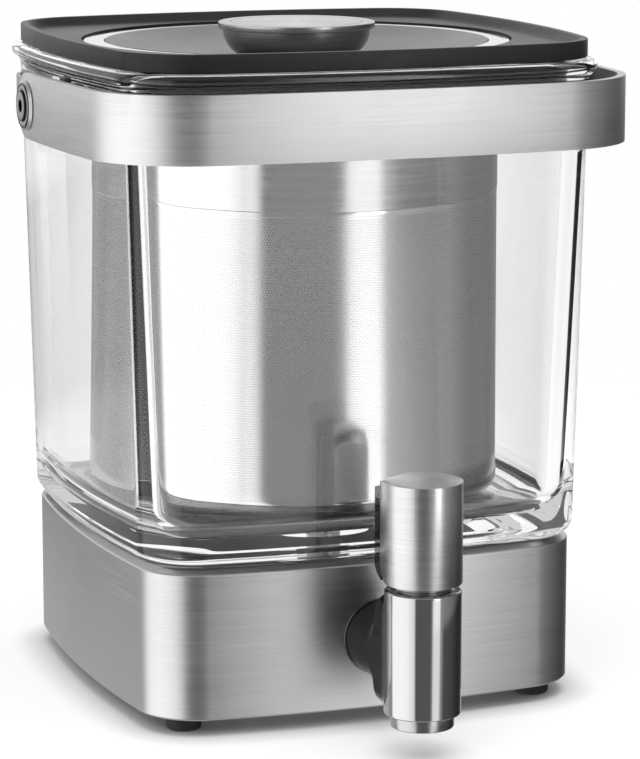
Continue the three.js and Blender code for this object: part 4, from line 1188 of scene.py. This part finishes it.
def jar_lid():
    high = lid_high.z
    slope = LID_RIM + LID_SLOPE
    profile = [
        (LID_EDGE + UNDER_LAND, plate_bottom),
        (0, plate_bottom),
        (0, high),
        (LID_RIM, high),
        (slope, lid_floor + LID_EDGE / 2),
        (slope + LID_EDGE, lid_floor),
        (slope + FLOOR_LAND, lid_floor),
    ]
    plate = swept("lid_plate", LID_PLAN, softened(profile, LID_EDGE, steps=PLATE_STEPS))
    top = lid_floor - LID_EDGE
    inner = SKIRT_INSET + SKIRT_WALL
    ring = [(SKIRT_INSET, lid_low.z), (SKIRT_INSET, top), (inner, top), (inner, lid_low.z)]
    skirt = swept("skirt", JAR_PLAN, ring, closed=True)
    ledge_top = lid_floor - LEDGE_DROP
    outer = LID_OPENING + LID_WELL
    well = turned("well", [(outer, ledge_top - LEDGE_THICKNESS), (outer, top)], AXIS, segments=LARGE_ROUND)
    combine(plate, skirt, "UNION")
    combine(plate, well, "UNION")
    mouth = STEEPER_RADIUS + FIT
    steps = [(mouth, lid_low.z - PAST), (mouth, ledge_top), (LID_OPENING, ledge_top), (LID_OPENING, high + PAST)]
    return combine(plate, turned("opening", steps, AXIS, segments=LARGE_ROUND), "DIFFERENCE")


def lid_seal():
    profile = lipped("lid_seal", SKIRT_INSET - SEAT, SKIRT_INSET - SEAL_BODY, JAR_WALL + LIP_GAP)
    return swept("lid_seal_lip", JAR_PLAN, softened(profile, LIP_SOFT, closed=True), closed=True)


finish(jar_lid(), BLACK_LID, "jar_lid", angle=30)
finish(lid_seal(), BLACK_RUBBER, "lid_seal")

# %% [markdown]
# ## Steeper
# The steeper is a tall round basket. A plain collar with a flange hangs in the lid, a sleeve of etched sheet with
# welded hems makes its wall, and a pressed cup closes it below. All three are turned, and are thin shells with an
# inner and an outer face.

# %% Collar, sleeve and base
STEEPER_WALL = 0.9
FLANGE = 1.4
MESH_INSET = 0.2
HEM_OUT = 0.05
HEM_HEIGHT = 1.4
BASE_ROUND = 4
BASE_DISH = 1.2
BASE_LAND = 32.8
BASE_SLOPE = 2.4
BASE_STEPS = 8
COLLAR_SOFT = 0.15
SLEEVE_SOFT = 0.08
inner_radius = STEEPER_RADIUS - STEEPER_WALL


def steeper_collar():
    low, high = span("steeper_collar")
    rim = radius_of("steeper_collar")
    profile = [
        (inner_radius, low.z),
        (STEEPER_RADIUS, low.z),
        (STEEPER_RADIUS, high.z - FLANGE),
        (rim, high.z - FLANGE),
        (rim, high.z),
        (inner_radius, high.z),
    ]
    return turned_ring("steeper_collar_turned", profile, COLLAR_SOFT, AXIS, segments=LARGE_ROUND)


def steeper_mesh():
    low, high = span("steeper_mesh")
    wall = STEEPER_RADIUS - MESH_INSET
    hem = wall + HEM_OUT
    profile = [
        (inner_radius, low.z),
        (hem, low.z),
        (hem, low.z + HEM_HEIGHT),
        (wall, low.z + HEM_HEIGHT + HEM_OUT),
        (wall, high.z - HEM_HEIGHT - HEM_OUT),
        (hem, high.z - HEM_HEIGHT),
        (hem, high.z),
        (inner_radius, high.z),
    ]
    return turned_ring("steeper_sleeve", profile, SLEEVE_SOFT, AXIS, segments=LARGE_ROUND)


def steeper_base():
    low, high = span("steeper_base")
    bottom, top = low.z, high.z
    corner = (STEEPER_RADIUS - BASE_ROUND, bottom + BASE_ROUND)
    profile = [
        (0, bottom + BASE_DISH),
        (BASE_LAND, bottom + BASE_DISH),
        (BASE_LAND + BASE_SLOPE, bottom),
        *arc(*corner, BASE_ROUND, 270, 360, BASE_STEPS),
        (STEEPER_RADIUS, top),
        (inner_radius, top),
        *arc(*corner, BASE_ROUND - STEEPER_WALL, 360, 270, BASE_STEPS),
        (BASE_LAND + BASE_SLOPE, bottom + STEEPER_WALL),
        (BASE_LAND, bottom + BASE_DISH + STEEPER_WALL),
        (0, bottom + BASE_DISH + STEEPER_WALL),
    ]
    return turned("steeper_cup", profile, AXIS, segments=LARGE_ROUND)


finish(steeper_collar(), STEEPER_STEEL, "steeper_collar")
finish(steeper_mesh(), ETCHED, "steeper_mesh")
finish(steeper_base(), STEEPER_CUP_PAINTED_SHADE, "steeper_base")

# %% [markdown]
# ## Steeper lid and knob
# The steeper has its own lid: a grey dish that sinks in a long soft curve towards the knob, with a bright flat ring
# on its border and a plug below with a soft seal. The knob is a dark turned bowl that stands in the dish under a flat
# brushed cap. On the cap a fine groove runs round near the edge.

# %% Dish, ring and seal
DISH_DEPTH = 6.5
DISH_THICKNESS = 2
DISH_LAND = 18
DISH_CURVE = 1.6
RING_INNER = 63.3
RING_THICKNESS = 1
PLUG_WALL = 1.6
PLUG_GAP = 2
SCREW_BORE = 2.8
BORDER_THICKNESS = 1
DISH_STEPS = 16
RING_SOFT = 0.35
PLUG_SOFT = 0.3

dish_low, dish_high = span("steeper_lid")
plug_outer = inner_radius - PLUG_GAP
RIM_RADIUS = radius_of("steeper_lid_ring")


def dish_height(radius):
    share = max(radius - DISH_LAND, 0) / (RING_INNER - DISH_LAND)
    return dish_high.z - DISH_DEPTH + DISH_DEPTH * share**DISH_CURVE


def steeper_lid():
    edge = RING_INNER - SEAT
    plate_top = dish_high.z - RING_THICKNESS - SEAT
    plate_low = plate_top - BORDER_THICKNESS
    plug_inner = plug_outer - PLUG_WALL
    radii = [DISH_LAND + (edge - DISH_LAND) * i / DISH_STEPS for i in range(DISH_STEPS + 1)]
    upper = [(radius, dish_height(radius)) for radius in radii]
    under = [(radius, height - DISH_THICKNESS) for radius, height in upper if radius < plug_inner]
    profile = [
        (SCREW_BORE, dish_height(0)),
        *upper,
        (edge, plate_top),
        (RIM_RADIUS, plate_top),
        (RIM_RADIUS, plate_low),
        (plug_outer, plate_low),
        (plug_outer, dish_low.z),
        (plug_inner, dish_low.z),
        (plug_inner, dish_height(plug_inner) - DISH_THICKNESS),
        *reversed(under),
        (SCREW_BORE, dish_height(0) - DISH_THICKNESS),
    ]
    return turned("dish", profile, AXIS, closed=True, segments=LARGE_ROUND)


def dish_ring():
    low, high = span("steeper_lid_ring")
    profile = rectangle(RING_INNER + SEAT, RIM_RADIUS, low.z, high.z)
    return turned_ring("dish_ring", profile, RING_SOFT, AXIS, segments=LARGE_ROUND)


def plug_seal():
    node = "steeper_lid_seal"
    profile = lipped(node, plug_outer + SEAT, plug_outer + PLUG_GAP / 2, radius_of(node))
    return turned_ring("plug_seal_lip", profile, PLUG_SOFT, AXIS, segments=MIDDLE_ROUND)


finish(steeper_lid(), GREY_DISH, "steeper_lid")
finish(dish_ring(), POLISHED, "steeper_lid_ring")
finish(plug_seal(), BLACK_RUBBER, "steeper_lid_seal")

# %% Knob
BOWL_FOOT = 14
BOWL_RECESS = 19
RECESS_DEPTH = 1.6
CAP_EDGE = 0.3
GROOVE_RADIUS = 21.5
GROOVE_WIDTH = 0.5
GROOVE_DEPTH = 0.25
KNOB_SCREW = 2.5
KNOB_BORE_DEPTH = 7.3
BOWL_STEPS = 16


def knob_bowl():
    low, high = span("knob_body")
    wide, tall = radius_of("knob_body") - BOWL_FOOT, high.z - low.z
    hole, hole_top = KNOB_SCREW + SEAT, low.z + KNOB_BORE_DEPTH
    profile = [
        (0, hole_top),
        (hole, hole_top),
        (hole, low.z),
        *[(BOWL_FOOT + wide * x, high.z + tall * y) for x, y in arc(0, 0, 1, 270, 360, BOWL_STEPS)],
        (BOWL_RECESS, high.z),
        (BOWL_RECESS, high.z - RECESS_DEPTH),
        (0, high.z - RECESS_DEPTH),
    ]
    return turned("knob_bowl", profile, AXIS, segments=MIDDLE_ROUND)


def knob_cap():
    low, high = span("knob_cap")
    radius = radius_of("knob_cap")
    spigot = BOWL_RECESS - FIT
    under = span("knob_body")[1].z + SEAT
    groove = high.z - GROOVE_DEPTH
    profile = [
        (0, low.z),
        (spigot, low.z),
        (spigot, under),
        (radius, under),
        (radius, high.z),
        (GROOVE_RADIUS + GROOVE_WIDTH, high.z),
        (GROOVE_RADIUS + GROOVE_WIDTH, groove),
        (GROOVE_RADIUS, groove),
        (GROOVE_RADIUS, high.z),
        (0, high.z),
    ]
    return turned("knob_disc", softened(profile, CAP_EDGE), AXIS, segments=MIDDLE_ROUND)


finish(knob_bowl(), DARK_BOWL, "knob_body")
finish(knob_cap(), STEEL_CAP, "knob_cap")

# %% [markdown]
# ## Tap
# The tap's body is a polished upright barrel. Its arm leaves the base round, grows taller and squarer as it nears the
# barrel, and runs into it in one concave curve. The arm is lofted from sections that follow that growth and then
# joined to the barrel, and the bores are cut last.

# %% Tap body
ARM_RADIUS = 11.9
ARM_RISE_TOP = 9.2
ARM_RISE_TOP_LENGTH = 20
ARM_RISE_BOTTOM = 3
ARM_RISE_BOTTOM_LENGTH = 9
ARM_SQUARE = 2.6
ARM_STEPS = 18
SECTION_STEPS = 64
BARREL_EDGE = 0.6
CHAMBER = 8.6
CHAMBER_ROOM = 1
SPIGOT = 7.2

body_low, body_high = span("tap_body")
ARM_HEIGHT = middle("tap_flange").z
BARREL = body_high.x
barrel_back = TAP.y + BARREL


def rise(length, y):
    share = min(max((barrel_back + length - y) / length, 0), 1)
    return 1 - math.sqrt(1 - share * share)


def arm_section(y):
    top = ARM_RADIUS + ARM_RISE_TOP * rise(ARM_RISE_TOP_LENGTH, y)
    bottom = ARM_RADIUS + ARM_RISE_BOTTOM * rise(ARM_RISE_BOTTOM_LENGTH, y)
    power = 2 / (2 + ARM_SQUARE * rise(ARM_RISE_BOTTOM_LENGTH, y))
    points = []
    for k in range(SECTION_STEPS):
        angle = 2 * math.pi * k / SECTION_STEPS
        c, s = math.cos(angle), math.sin(angle)
        x = ARM_RADIUS * math.copysign(abs(c) ** power, c)
        z = (top if s > 0 else bottom) * math.copysign(abs(s) ** power, s)
        points.append((TAP.x + x, y, ARM_HEIGHT + z))
    return points


def tap_body():
    start = body_high.y
    curve_start = barrel_back + ARM_RISE_TOP_LENGTH
    places = [start]
    for i in range(ARM_STEPS + 1):
        y = curve_start + (barrel_back - curve_start) * math.sin(math.pi / 2 * i / ARM_STEPS)
        if y < start - SEAT:
            places.append(y)
    arm = loft("arm", [arm_section(y) for y in [*places, TAP.y]])
    profile = [(0, body_low.z), (BARREL, body_low.z), (BARREL, body_high.z), (0, body_high.z)]
    barrel = turned("tap_barrel", softened(profile, BARREL_EDGE), TAP, segments=MIDDLE_ROUND, start=HALF_STEP)
    combine(barrel, arm, "UNION")
    nozzle_top = span("tap_nozzle")[1].z + SEAT
    chamber_low = span("tap_bonnet")[0].z - CHAMBER_ROOM
    bores = {
        "below": [(SPIGOT, body_low.z - PAST), (SPIGOT, nozzle_top)],
        "above": [(CHAMBER, chamber_low), (CHAMBER, body_high.z + PAST)],
    }
    for name, ends in bores.items():
        combine(barrel, turned(name, ends, TAP, segments=SMALL_ROUND, start=HALF_STEP), "DIFFERENCE")
    return barrel


finish(tap_body(), TAP_STEEL_ARM_PAINTED_DARK, "tap_body", angle=35)

# %% [markdown]
# Below the barrel a satin ring carries the outlet, and above it the bonnet shows as a dark waisted neck. A thin
# flange closes the arm against the base.

# %% Nozzle, neck and flange
NOZZLE_BORE = 5.2
NECK_WAIST = 1.1
NECK_TOP = 8.6
NECK_HEIGHT = 2.2
STEM_HOLE = 2.8
SHANK_HOLE = 7.3
WAIST_STEPS = 8
NOZZLE_SOFT = 0.5
FLANGE_SOFT = 0.35


def nozzle():
    low, high = span("tap_nozzle")
    radius = radius_of("tap_nozzle")
    shoulder = body_low.z - SEAT
    profile = [
        (NOZZLE_BORE, low.z),
        (radius, low.z),
        (radius, shoulder),
        (SPIGOT - FIT, shoulder),
        (SPIGOT - FIT, high.z),
        (NOZZLE_BORE, high.z),
    ]
    return turned_ring("nozzle_ring", profile, NOZZLE_SOFT, TAP)


def neck():
    low, high = span("tap_bonnet")
    radius = radius_of("tap_bonnet")
    flange = high.z - NECK_HEIGHT
    shares = [i / WAIST_STEPS for i in range(WAIST_STEPS)]
    waist = [(radius - NECK_WAIST * math.sin(math.pi * share), flange + NECK_HEIGHT * share) for share in shares]
    profile = [
        (STEM_HOLE, low.z),
        (CHAMBER - FIT, low.z),
        (CHAMBER - FIT, flange),
        *waist,
        (NECK_TOP, high.z),
        (STEM_HOLE, high.z),
    ]
    return turned("neck_ring", profile, TAP, closed=True)


def flange():
    low, high = span("tap_flange")
    profile = rectangle(SHANK_HOLE, radius_of("tap_flange"), high.y, low.y)
    return turned_ring("flange_ring", profile, FLANGE_SOFT, middle("tap_flange"), axis="Y")


finish(nozzle(), STEEL_NOZZLE, "tap_nozzle")
finish(neck(), NECK_STEEL, "tap_bonnet")
finish(flange(), FLANGE_PAINTED_DARK, "tap_flange")

# %% [markdown]
# ## Lever
# The lever is a polished core with a brushed sleeve over its front and top. Seen from above it is a half circle with
# straight sides behind, and its top is a shallow dome. Both pieces start from that outline and are cut to the dome.
# The sleeve keeps only its wall, its top and the front part of its sides. The core fills it, and stands out by a small
# step behind the sleeve's seam.

# %% Lever
SLEEVE_WALL = 1.3
SLEEVE_SEAM = 5.3
LEVER_BACK = 12.8
LEVER_DOME = 2
CORE_STEP = 0.5
BACK_ROUND = 2
HEEL_ROUND = 9
SLEEVE_HEEL = 6
LEVER_STEPS = 36
CORNER_ARC = 6
DOME_SPAN = (55, 90, 14)
SLEEVE_EDGE = 0.25
LIT_BACK_FADE = (0.5, 0.3)
LIT_UPWARDS = (0.8, 0.9)

sleeve_low, sleeve_high = span("lever_sleeve")
LEVER_RADIUS = radius_of("lever_sleeve")
DOME_RADIUS = (LEVER_RADIUS**2 + LEVER_DOME**2) / (2 * LEVER_DOME)


def lever_outline(inset, back, corner, step=0):
    """A half circle with straight sides behind, which may stand out by a step behind the sleeve's seam."""
    radius = LEVER_RADIUS - inset
    flat = arc(0, 0, radius, 180, 360, LEVER_STEPS)
    wide = radius + step
    seam = SLEEVE_SEAM + FIT
    if step:
        flat += [(radius, seam), (wide, seam)]
    if corner:
        flat += arc(wide - corner, back - corner, corner, 0, 90, CORNER_ARC)
        flat += arc(corner - wide, back - corner, corner, 90, 180, CORNER_ARC)
    else:
        flat += [(wide, back), (-wide, back)]
    if step:
        flat += [(-wide, seam), (-radius, seam)]
    return flat


def lever_solid(name, flat, bottom, drop):
    """The lever's outline, raised past its top and cut to its dome, less a drop."""
    rings = [[(TAP.x + x, TAP.y + y, z) for x, y in flat] for z in (bottom, sleeve_high.z + 2 * PAST)]
    solid = loft(name, rings)
    crown = sleeve_high.z - drop - DOME_RADIUS
    dome = [*reversed(arc(0, crown, DOME_RADIUS, *DOME_SPAN))]
    below = bottom - 2 * PAST
    bowl = turned("bowl", [*dome, (dome[-1][0], below), (0, below)], TAP, segments=LARGE_ROUND, start=HALF_STEP)
    return combine(solid, bowl, "INTERSECT")


def lever_block(start, bottom, past):
    """A block from a place behind the tap's axis, which reaches past the lever on every other side."""
    reach = LEVER_RADIUS + past
    return block(
        (TAP.x - reach, TAP.y + start, bottom),
        (TAP.x + reach, TAP.y + LEVER_BACK + past, sleeve_high.z + past),
    )


def heel_rounded(solid, back, radius, bottom):
    """Takes the lower edge behind off a solid, in a quarter round that ends on its back."""
    heel = lever_block(back - radius, bottom - 2 * PAST, 3 * PAST)
    heel_top = bottom + radius
    keep = lever_block(-LEVER_RADIUS, heel_top, 4 * PAST)
    centre = (TAP.x, TAP.y + back - radius, heel_top)
    reach = LEVER_RADIUS + 4 * PAST
    ends = [(radius, TAP.x - reach), (radius, TAP.x + reach)]
    rod = turned("rod", ends, centre, axis="X", segments=MIDDLE_ROUND)
    combine(heel, keep, "DIFFERENCE")
    combine(heel, rod, "DIFFERENCE")
    return combine(solid, heel, "DIFFERENCE")


def lever_sleeve():
    bottom = sleeve_low.z
    sleeve = lever_solid("lever_sleeve_brushed", lever_outline(0, LEVER_BACK, BACK_ROUND), bottom, 0)
    inside = lever_outline(SLEEVE_WALL, LEVER_BACK + PAST, 0)
    combine(sleeve, lever_solid("inside", inside, bottom - PAST / 2, SLEEVE_WALL), "DIFFERENCE")
    combine(sleeve, lever_block(SLEEVE_SEAM, bottom - 2 * PAST, 3 * PAST), "DIFFERENCE")
    return bevelled(heel_rounded(sleeve, SLEEVE_SEAM, SLEEVE_HEEL, bottom), SLEEVE_EDGE, angle=60, segments=2)


def lever_core():
    bottom = span("lever_core")[0].z
    drop = SLEEVE_WALL + FIT
    flat = lever_outline(drop, LEVER_BACK, BACK_ROUND, drop - CORE_STEP)
    core = lever_solid("lever_core_polished", flat, bottom, drop)
    return heel_rounded(core, LEVER_BACK, HEEL_ROUND, bottom)


def painted_core_steel(value, roughness, light, rougher):
    """Polished steel painted dark, as a painted dark reflection, with a back painted lighter, satin and less metallic,
    as painted light; the back starts a hair before the core's end.
    """
    material, tree, shader = new_material("steel_lever_core_painted_dark_lit_back", grey(value), 1, roughness)
    y = parts_of(tree, place_from_axis(tree, tap_place))[1]
    back = mask_of(tree, y, *((LEVER_BACK - depth) * MM for depth in LIT_BACK_FADE))
    tree.links.new(blend(tree, back, value, light), shader.inputs["Base Color"])
    tree.links.new(by_mask(tree, back, 1, 0.25), shader.inputs["Metallic"])
    tree.links.new(by_mask(tree, back, roughness, rougher), shader.inputs["Roughness"])
    return material


def painted_lit_top(material, value, roughness):
    """The faces that look up take a lighter and rougher steel: the lighter grey is painted light on the lever's top."""
    tree, shader = opened(material)
    top = mask_of(tree, parts_of(tree, here(tree, "Normal"))[2], *LIT_UPWARDS)
    colour, rough = (shader.inputs[title].links[0].from_socket for title in ("Base Color", "Roughness"))
    tree.links.new(blend(tree, top, colour, value), shader.inputs["Base Color"])
    tree.links.new(by_mask(tree, top, rough, roughness), shader.inputs["Roughness"])
    return material


# The sleeve's lighter top is painted light.
finish(lever_sleeve(), painted_lit_top(STEEL_SLEEVE, 0.9, 0.5), "lever_sleeve", angle=35)
# The core is painted dark, as a painted dark reflection, and its back is painted lighter, as painted light.
finish(lever_core(), painted_core_steel(0.12, 0.09, 0.85, 0.4), "lever_core", angle=35)

# %% [markdown]
# ## Hidden pieces
# The pieces inside the base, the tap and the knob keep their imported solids, which are plain turned and moulded forms.
# They only take their finishes.

# %% Finishes of the solids that stay
KEPT = {
    GREY_PLASTIC: ["base_frame", "drain_elbow"],
    BLACK_PLASTIC: ["base_cover"],
    BLACK_RUBBER: ["shank_washer"],
    SILICONE: ["drain_hose", "seat_cup"],
    PLAIN_STEEL: [
        "drain_nut",
        "hose_clip_rear",
        "hose_clip_front",
        "tap_shank",
        "shank_nut",
        "valve_stem",
        "valve_spring",
        "lever_pin",
        "knob_screw",
        *[f"foot_screw_{corner}" for corner in CORNERS],
    ],
}
for material, names in KEPT.items():
    for name in names:
        solid = frame["nodes"][name]
        solid.data.materials.clear()
        solid.data.materials.append(material)
    print(material.name, "on", len(names), "solids")

# %% [markdown]
# ## Studio
# Polished steel shows the room more than itself. So a tall round wall stands about the object, out of the camera's
# sight, and only appears in reflections. All round it the brightness follows a list of bearings, counted in degrees
# from the front to the right: a wide white softbox on the left, darkness behind the camera, a narrow lit strip, and
# grey on the right. The strap, the steeper and the base mirror different heights of the wall. So a second list raises
# or lowers a stretch of bearings by a share, only above, only below, or in a belt between. Each stretch has four
# bearings: its start, where it is full, where it is full no more, and its end. Behind the object the wall's upper part
# is white. The floor is pale and takes the soft shadow.

# %% Floor and wall
WHITE = (1, 1, 1, 1)
WALL_DISTANCE = 1500
WALL_HEIGHT = 2800
WALL_STEPS = 180
WALL_STRENGTH = 1.55
WALL_SHARES = [
    (-180, 0.36),
    (-142, 0.36),
    (-134, 0.26),
    (-124, 0.26),
    (-117, 1.0),
    (-80, 1.0),
    (-64, 0.95),
    (-50, 0.78),
    (-44, 0.68),
    (-40, 0.09),
    (0, 0.09),
    (5, 0.2),
    (9, 0.8),
    (13, 0.86),
    (26, 0.86),
    (31, 0.26),
    (45, 0.2),
    (70, 0.15),
    (95, 0.07),
    (125, 0.07),
    (140, 0.3),
    (180, 0.36),
]
BEHIND = (115, 135, 181, 182)
WALL_CHANGES = [
    ((9, 22, 27, 30), "above", 1.6),
    ((1, 4, 9, 15), "above", -0.6),
    (BEHIND, "belt", -0.72),
    ((34, 40, 120, 130), "below", -0.65),
    ((4, 8, 28, 32), "below", -0.14),
]
ABOVE = (-0.12, -0.02)
BELOW = (-0.22, -0.25)
BELT = (-0.25, -0.22, -0.06, -0.03)
UPPER = (0.05, 0.2)
UPPER_SHARE = 0.65
FLOOR_SIZE = 12000
FLOOR_DROP = 0.2
FLOOR_LIGHT = 0.9
FLOOR_WHITE = 0.66
FLOOR_LIT_TO = 280
CONTACT_SHADOW_REACH = 14
CONTACT_SHADOW_SAMPLES = 8
CONTACT_SHADOW_POWER = 1.3


def seen_part(tree):
    """1 for what the camera sees straight on or through glass."""
    path = tree.nodes.new("ShaderNodeLightPath")
    return math_node(tree, "MAXIMUM", path.outputs["Is Camera Ray"], path.outputs["Is Transmission Ray"])


def reflected_part(tree):
    """1 for what is seen after a reflection in metal, and 0 for what only the glass reflects inside its wall."""
    path = tree.nodes.new("ShaderNodeLightPath")
    reflected = math_node(tree, "COMPARE", path.outputs["Glossy Depth"], 1.5, 1)
    in_glass = math_node(tree, "COMPARE", path.outputs["Transmission Depth"], 2, 1.5)
    return times(tree, reflected, math_node(tree, "SUBTRACT", 1, in_glass))


def stage_material(name):
    material = bpy.data.materials.new(name)
    material.use_nodes = True
    tree = material.node_tree
    tree.nodes.remove(tree.nodes["Principled BSDF"])
    return material, tree, tree.nodes["Material Output"].inputs["Surface"]


def between(tree, value, start, first, last, end):
    """1 from first to last, and 0 before start and past end."""
    return times(tree, mask_of(tree, value, start, first), mask_of(tree, value, end, last))


def wall_share(tree):
    """The wall's brightness at each bearing and height."""
    x, y, z = parts_of(tree, here(tree))
    bearing = math_node(tree, "DEGREES", math_node(tree, "ARCTAN2", x, times(tree, y, -1)))
    ramp = tree.nodes.new("ShaderNodeValToRGB")
    stops = ramp.color_ramp.elements
    while len(stops) < len(WALL_SHARES):
        stops.new(0.5)
    for stop, (degrees, share) in zip(stops, WALL_SHARES):
        stop.position = (degrees + 180) / 360
        stop.color = (*grey(share), 1)
    tree.links.new(mask_of(tree, bearing, -180, 180), ramp.inputs[0])
    share = ramp.outputs[0]
    behind = between(tree, math_node(tree, "ABSOLUTE", bearing), *BEHIND)
    heights = {
        "above": mask_of(tree, z, *ABOVE),
        "below": mask_of(tree, z, *BELOW),
        "belt": between(tree, z, *BELT),
    }
    for bearings, height, change in WALL_CHANGES:
        stretch = behind if bearings == BEHIND else between(tree, bearing, *bearings)
        changed = times(tree, stretch, heights[height])
        share = times(tree, share, by_mask(tree, changed, 1, 1 + change))
    return by_mask(tree, times(tree, behind, mask_of(tree, z, *UPPER)), share, UPPER_SHARE)


def floor():
    """Pale and lit near the object, and plain white further off. Close round the feet a painted contact shadow, from
    ambient occlusion, darkens its white glow, beside the real shadow on its lit part.
    """
    deselect()
    bpy.ops.mesh.primitive_plane_add(size=FLOOR_SIZE * MM, location=(0, 0, -FLOOR_DROP * MM))
    plane = bpy.context.active_object
    plane.name = "floor"
    material, tree, surface = stage_material("floor_pale")
    lit = shader_of(tree, "ShaderNodeBsdfDiffuse", Color=(*grey(FLOOR_LIGHT), 1))
    # Ambient occlusion paints a contact shadow into the white glow round the feet.
    painted_contact_shadow = tree.nodes.new("ShaderNodeAmbientOcclusion")
    painted_contact_shadow.samples = CONTACT_SHADOW_SAMPLES
    painted_contact_shadow.inputs["Distance"].default_value = CONTACT_SHADOW_REACH * MM
    unshadowed_share = math_node(tree, "POWER", painted_contact_shadow.outputs["AO"], CONTACT_SHADOW_POWER)
    white = shader_of(tree, "ShaderNodeEmission", Color=blend(tree, unshadowed_share, 0, 1))
    away = length_of(tree, *parts_of(tree, here(tree))[:2])
    share = mapped(tree, away, FLOOR_LIT_TO * MM, 2 * FLOOR_LIT_TO * MM, FLOOR_WHITE, 1)
    shown = mix_shaders(tree, times(tree, seen_part(tree), share), lit, white)
    clear = shader_of(tree, "ShaderNodeBsdfTransparent")
    tree.links.new(mix_shaders(tree, reflected_part(tree), shown, clear), surface)
    plane.data.materials.append(material)


def studio_wall():
    deselect()
    bpy.ops.mesh.primitive_cylinder_add(
        vertices=WALL_STEPS,
        radius=WALL_DISTANCE * MM,
        depth=WALL_HEIGHT * MM,
        end_fill_type="NOTHING",
    )
    wall = bpy.context.active_object
    wall.name = wall.data.name = "studio_wall"
    material, tree, surface = stage_material("studio_wall_light")
    strength = times(tree, wall_share(tree), WALL_STRENGTH)
    light = shader_of(tree, "ShaderNodeEmission", Color=WHITE, Strength=strength)
    clear = shader_of(tree, "ShaderNodeBsdfTransparent")
    tree.links.new(mix_shaders(tree, reflected_part(tree), clear, light), surface)
    wall.data.materials.append(material)
    wall.visible_camera = False
    wall.visible_diffuse = False
    wall.visible_shadow = False


floor()
studio_wall()
print("wall", len(WALL_SHARES), "bearings,", len(WALL_CHANGES), "changes")

# %% [markdown]
# The world gives a soft even light, a little less of it to what steel mirrors, and more to what the glass has thrown
# back several times. To the camera, straight on or through glass, it is white, and darker only high overhead. Two
# square softboxes cast the shadow.

# %% Light
WORLD_LIGHT = 0.5
CEILING_LIGHT = 0.45
DEEP_LIGHT = 0.65
OVERHEAD = (0.4, 0.6)
OVERHEAD_LIGHT = 0.25
LIGHT_AIM = (0, 0, 0.1)


def studio_world():
    world = bpy.data.worlds.new("studio")
    bpy.context.scene.world = world
    world.use_nodes = True
    tree = world.node_tree
    soft = tree.nodes["Background"]
    soft.inputs["Color"].default_value = WHITE
    soft.inputs["Strength"].default_value = WORLD_LIGHT
    height = parts_of(tree, here(tree, "Generated"))[2]
    ceiling, deep, white = (
        shader_of(tree, "ShaderNodeBackground", Color=WHITE, Strength=strength)
        for strength in (CEILING_LIGHT, DEEP_LIGHT, mapped(tree, height, *OVERHEAD, 1, OVERHEAD_LIGHT))
    )
    path = tree.nodes.new("ShaderNodeLightPath")
    plain = mix_shaders(tree, path.outputs["Is Glossy Ray"], soft.outputs[0], ceiling)
    bounced = math_node(tree, "GREATER_THAN", path.outputs["Glossy Depth"], DEEP_BOUNCE)
    plain = mix_shaders(tree, bounced, plain, deep)
    surface = tree.nodes["World Output"].inputs["Surface"]
    tree.links.new(mix_shaders(tree, seen_part(tree), plain, white), surface)


def softbox(name, place, size, power):
    data = bpy.data.lights.new(name, "AREA")
    data.shape = "SQUARE"
    data.size = size
    data.energy = power
    lamp = bpy.data.objects.new(name, data)
    bpy.context.collection.objects.link(lamp)
    lamp.location = place
    towards = Vector(LIGHT_AIM) - Vector(place)
    lamp.rotation_euler = towards.to_track_quat("-Z", "Y").to_euler()
    lamp.visible_glossy = False
    lamp.visible_transmission = False
    print(name, "size", size, "power", power)


studio_world()
softbox("softbox_above", (0.05, -0.2, 1.8), 1.4, 34)
softbox("softbox_left", (-1.1, -0.9, 1.1), 0.8, 8)

# %% [markdown]
# ## Camera
# The camera looks from the left and from a little above, at a distance of a bit over a metre with a long lens. It
# aims near the middle of the whole maker.

# %% Camera
CAMERA_AZIMUTH = -20.26
CAMERA_ELEVATION = 10.69
CAMERA_DISTANCE = 1125.9
CAMERA_AIM = (8.26, 0, 97.65)
CAMERA_LENS = 158.17
SENSOR_WIDTH = 36
CLIP_END = 50

azimuth, elevation = math.radians(CAMERA_AZIMUTH), math.radians(CAMERA_ELEVATION)
level = math.cos(elevation)
away = Vector((math.sin(azimuth) * level, -math.cos(azimuth) * level, math.sin(elevation)))
aim = Vector(CAMERA_AIM) + Vector((0, AXIS.y, 0))
lens = bpy.data.cameras.new("camera")
lens.lens = CAMERA_LENS
lens.sensor_width = SENSOR_WIDTH
lens.clip_end = CLIP_END
camera = bpy.data.objects.new("camera", lens)
bpy.context.collection.objects.link(camera)
camera.location = (aim + away * CAMERA_DISTANCE) * MM
camera.rotation_euler = away.to_track_quat("Z", "Y").to_euler()
bpy.context.scene.camera = camera
bpy.context.scene.view_settings.view_transform = "Standard"
print("camera at", camera.location)

# %% [markdown]
# ## Size
# The finer pieces may not change the object's size.

# %% Nothing left selected
deselect()
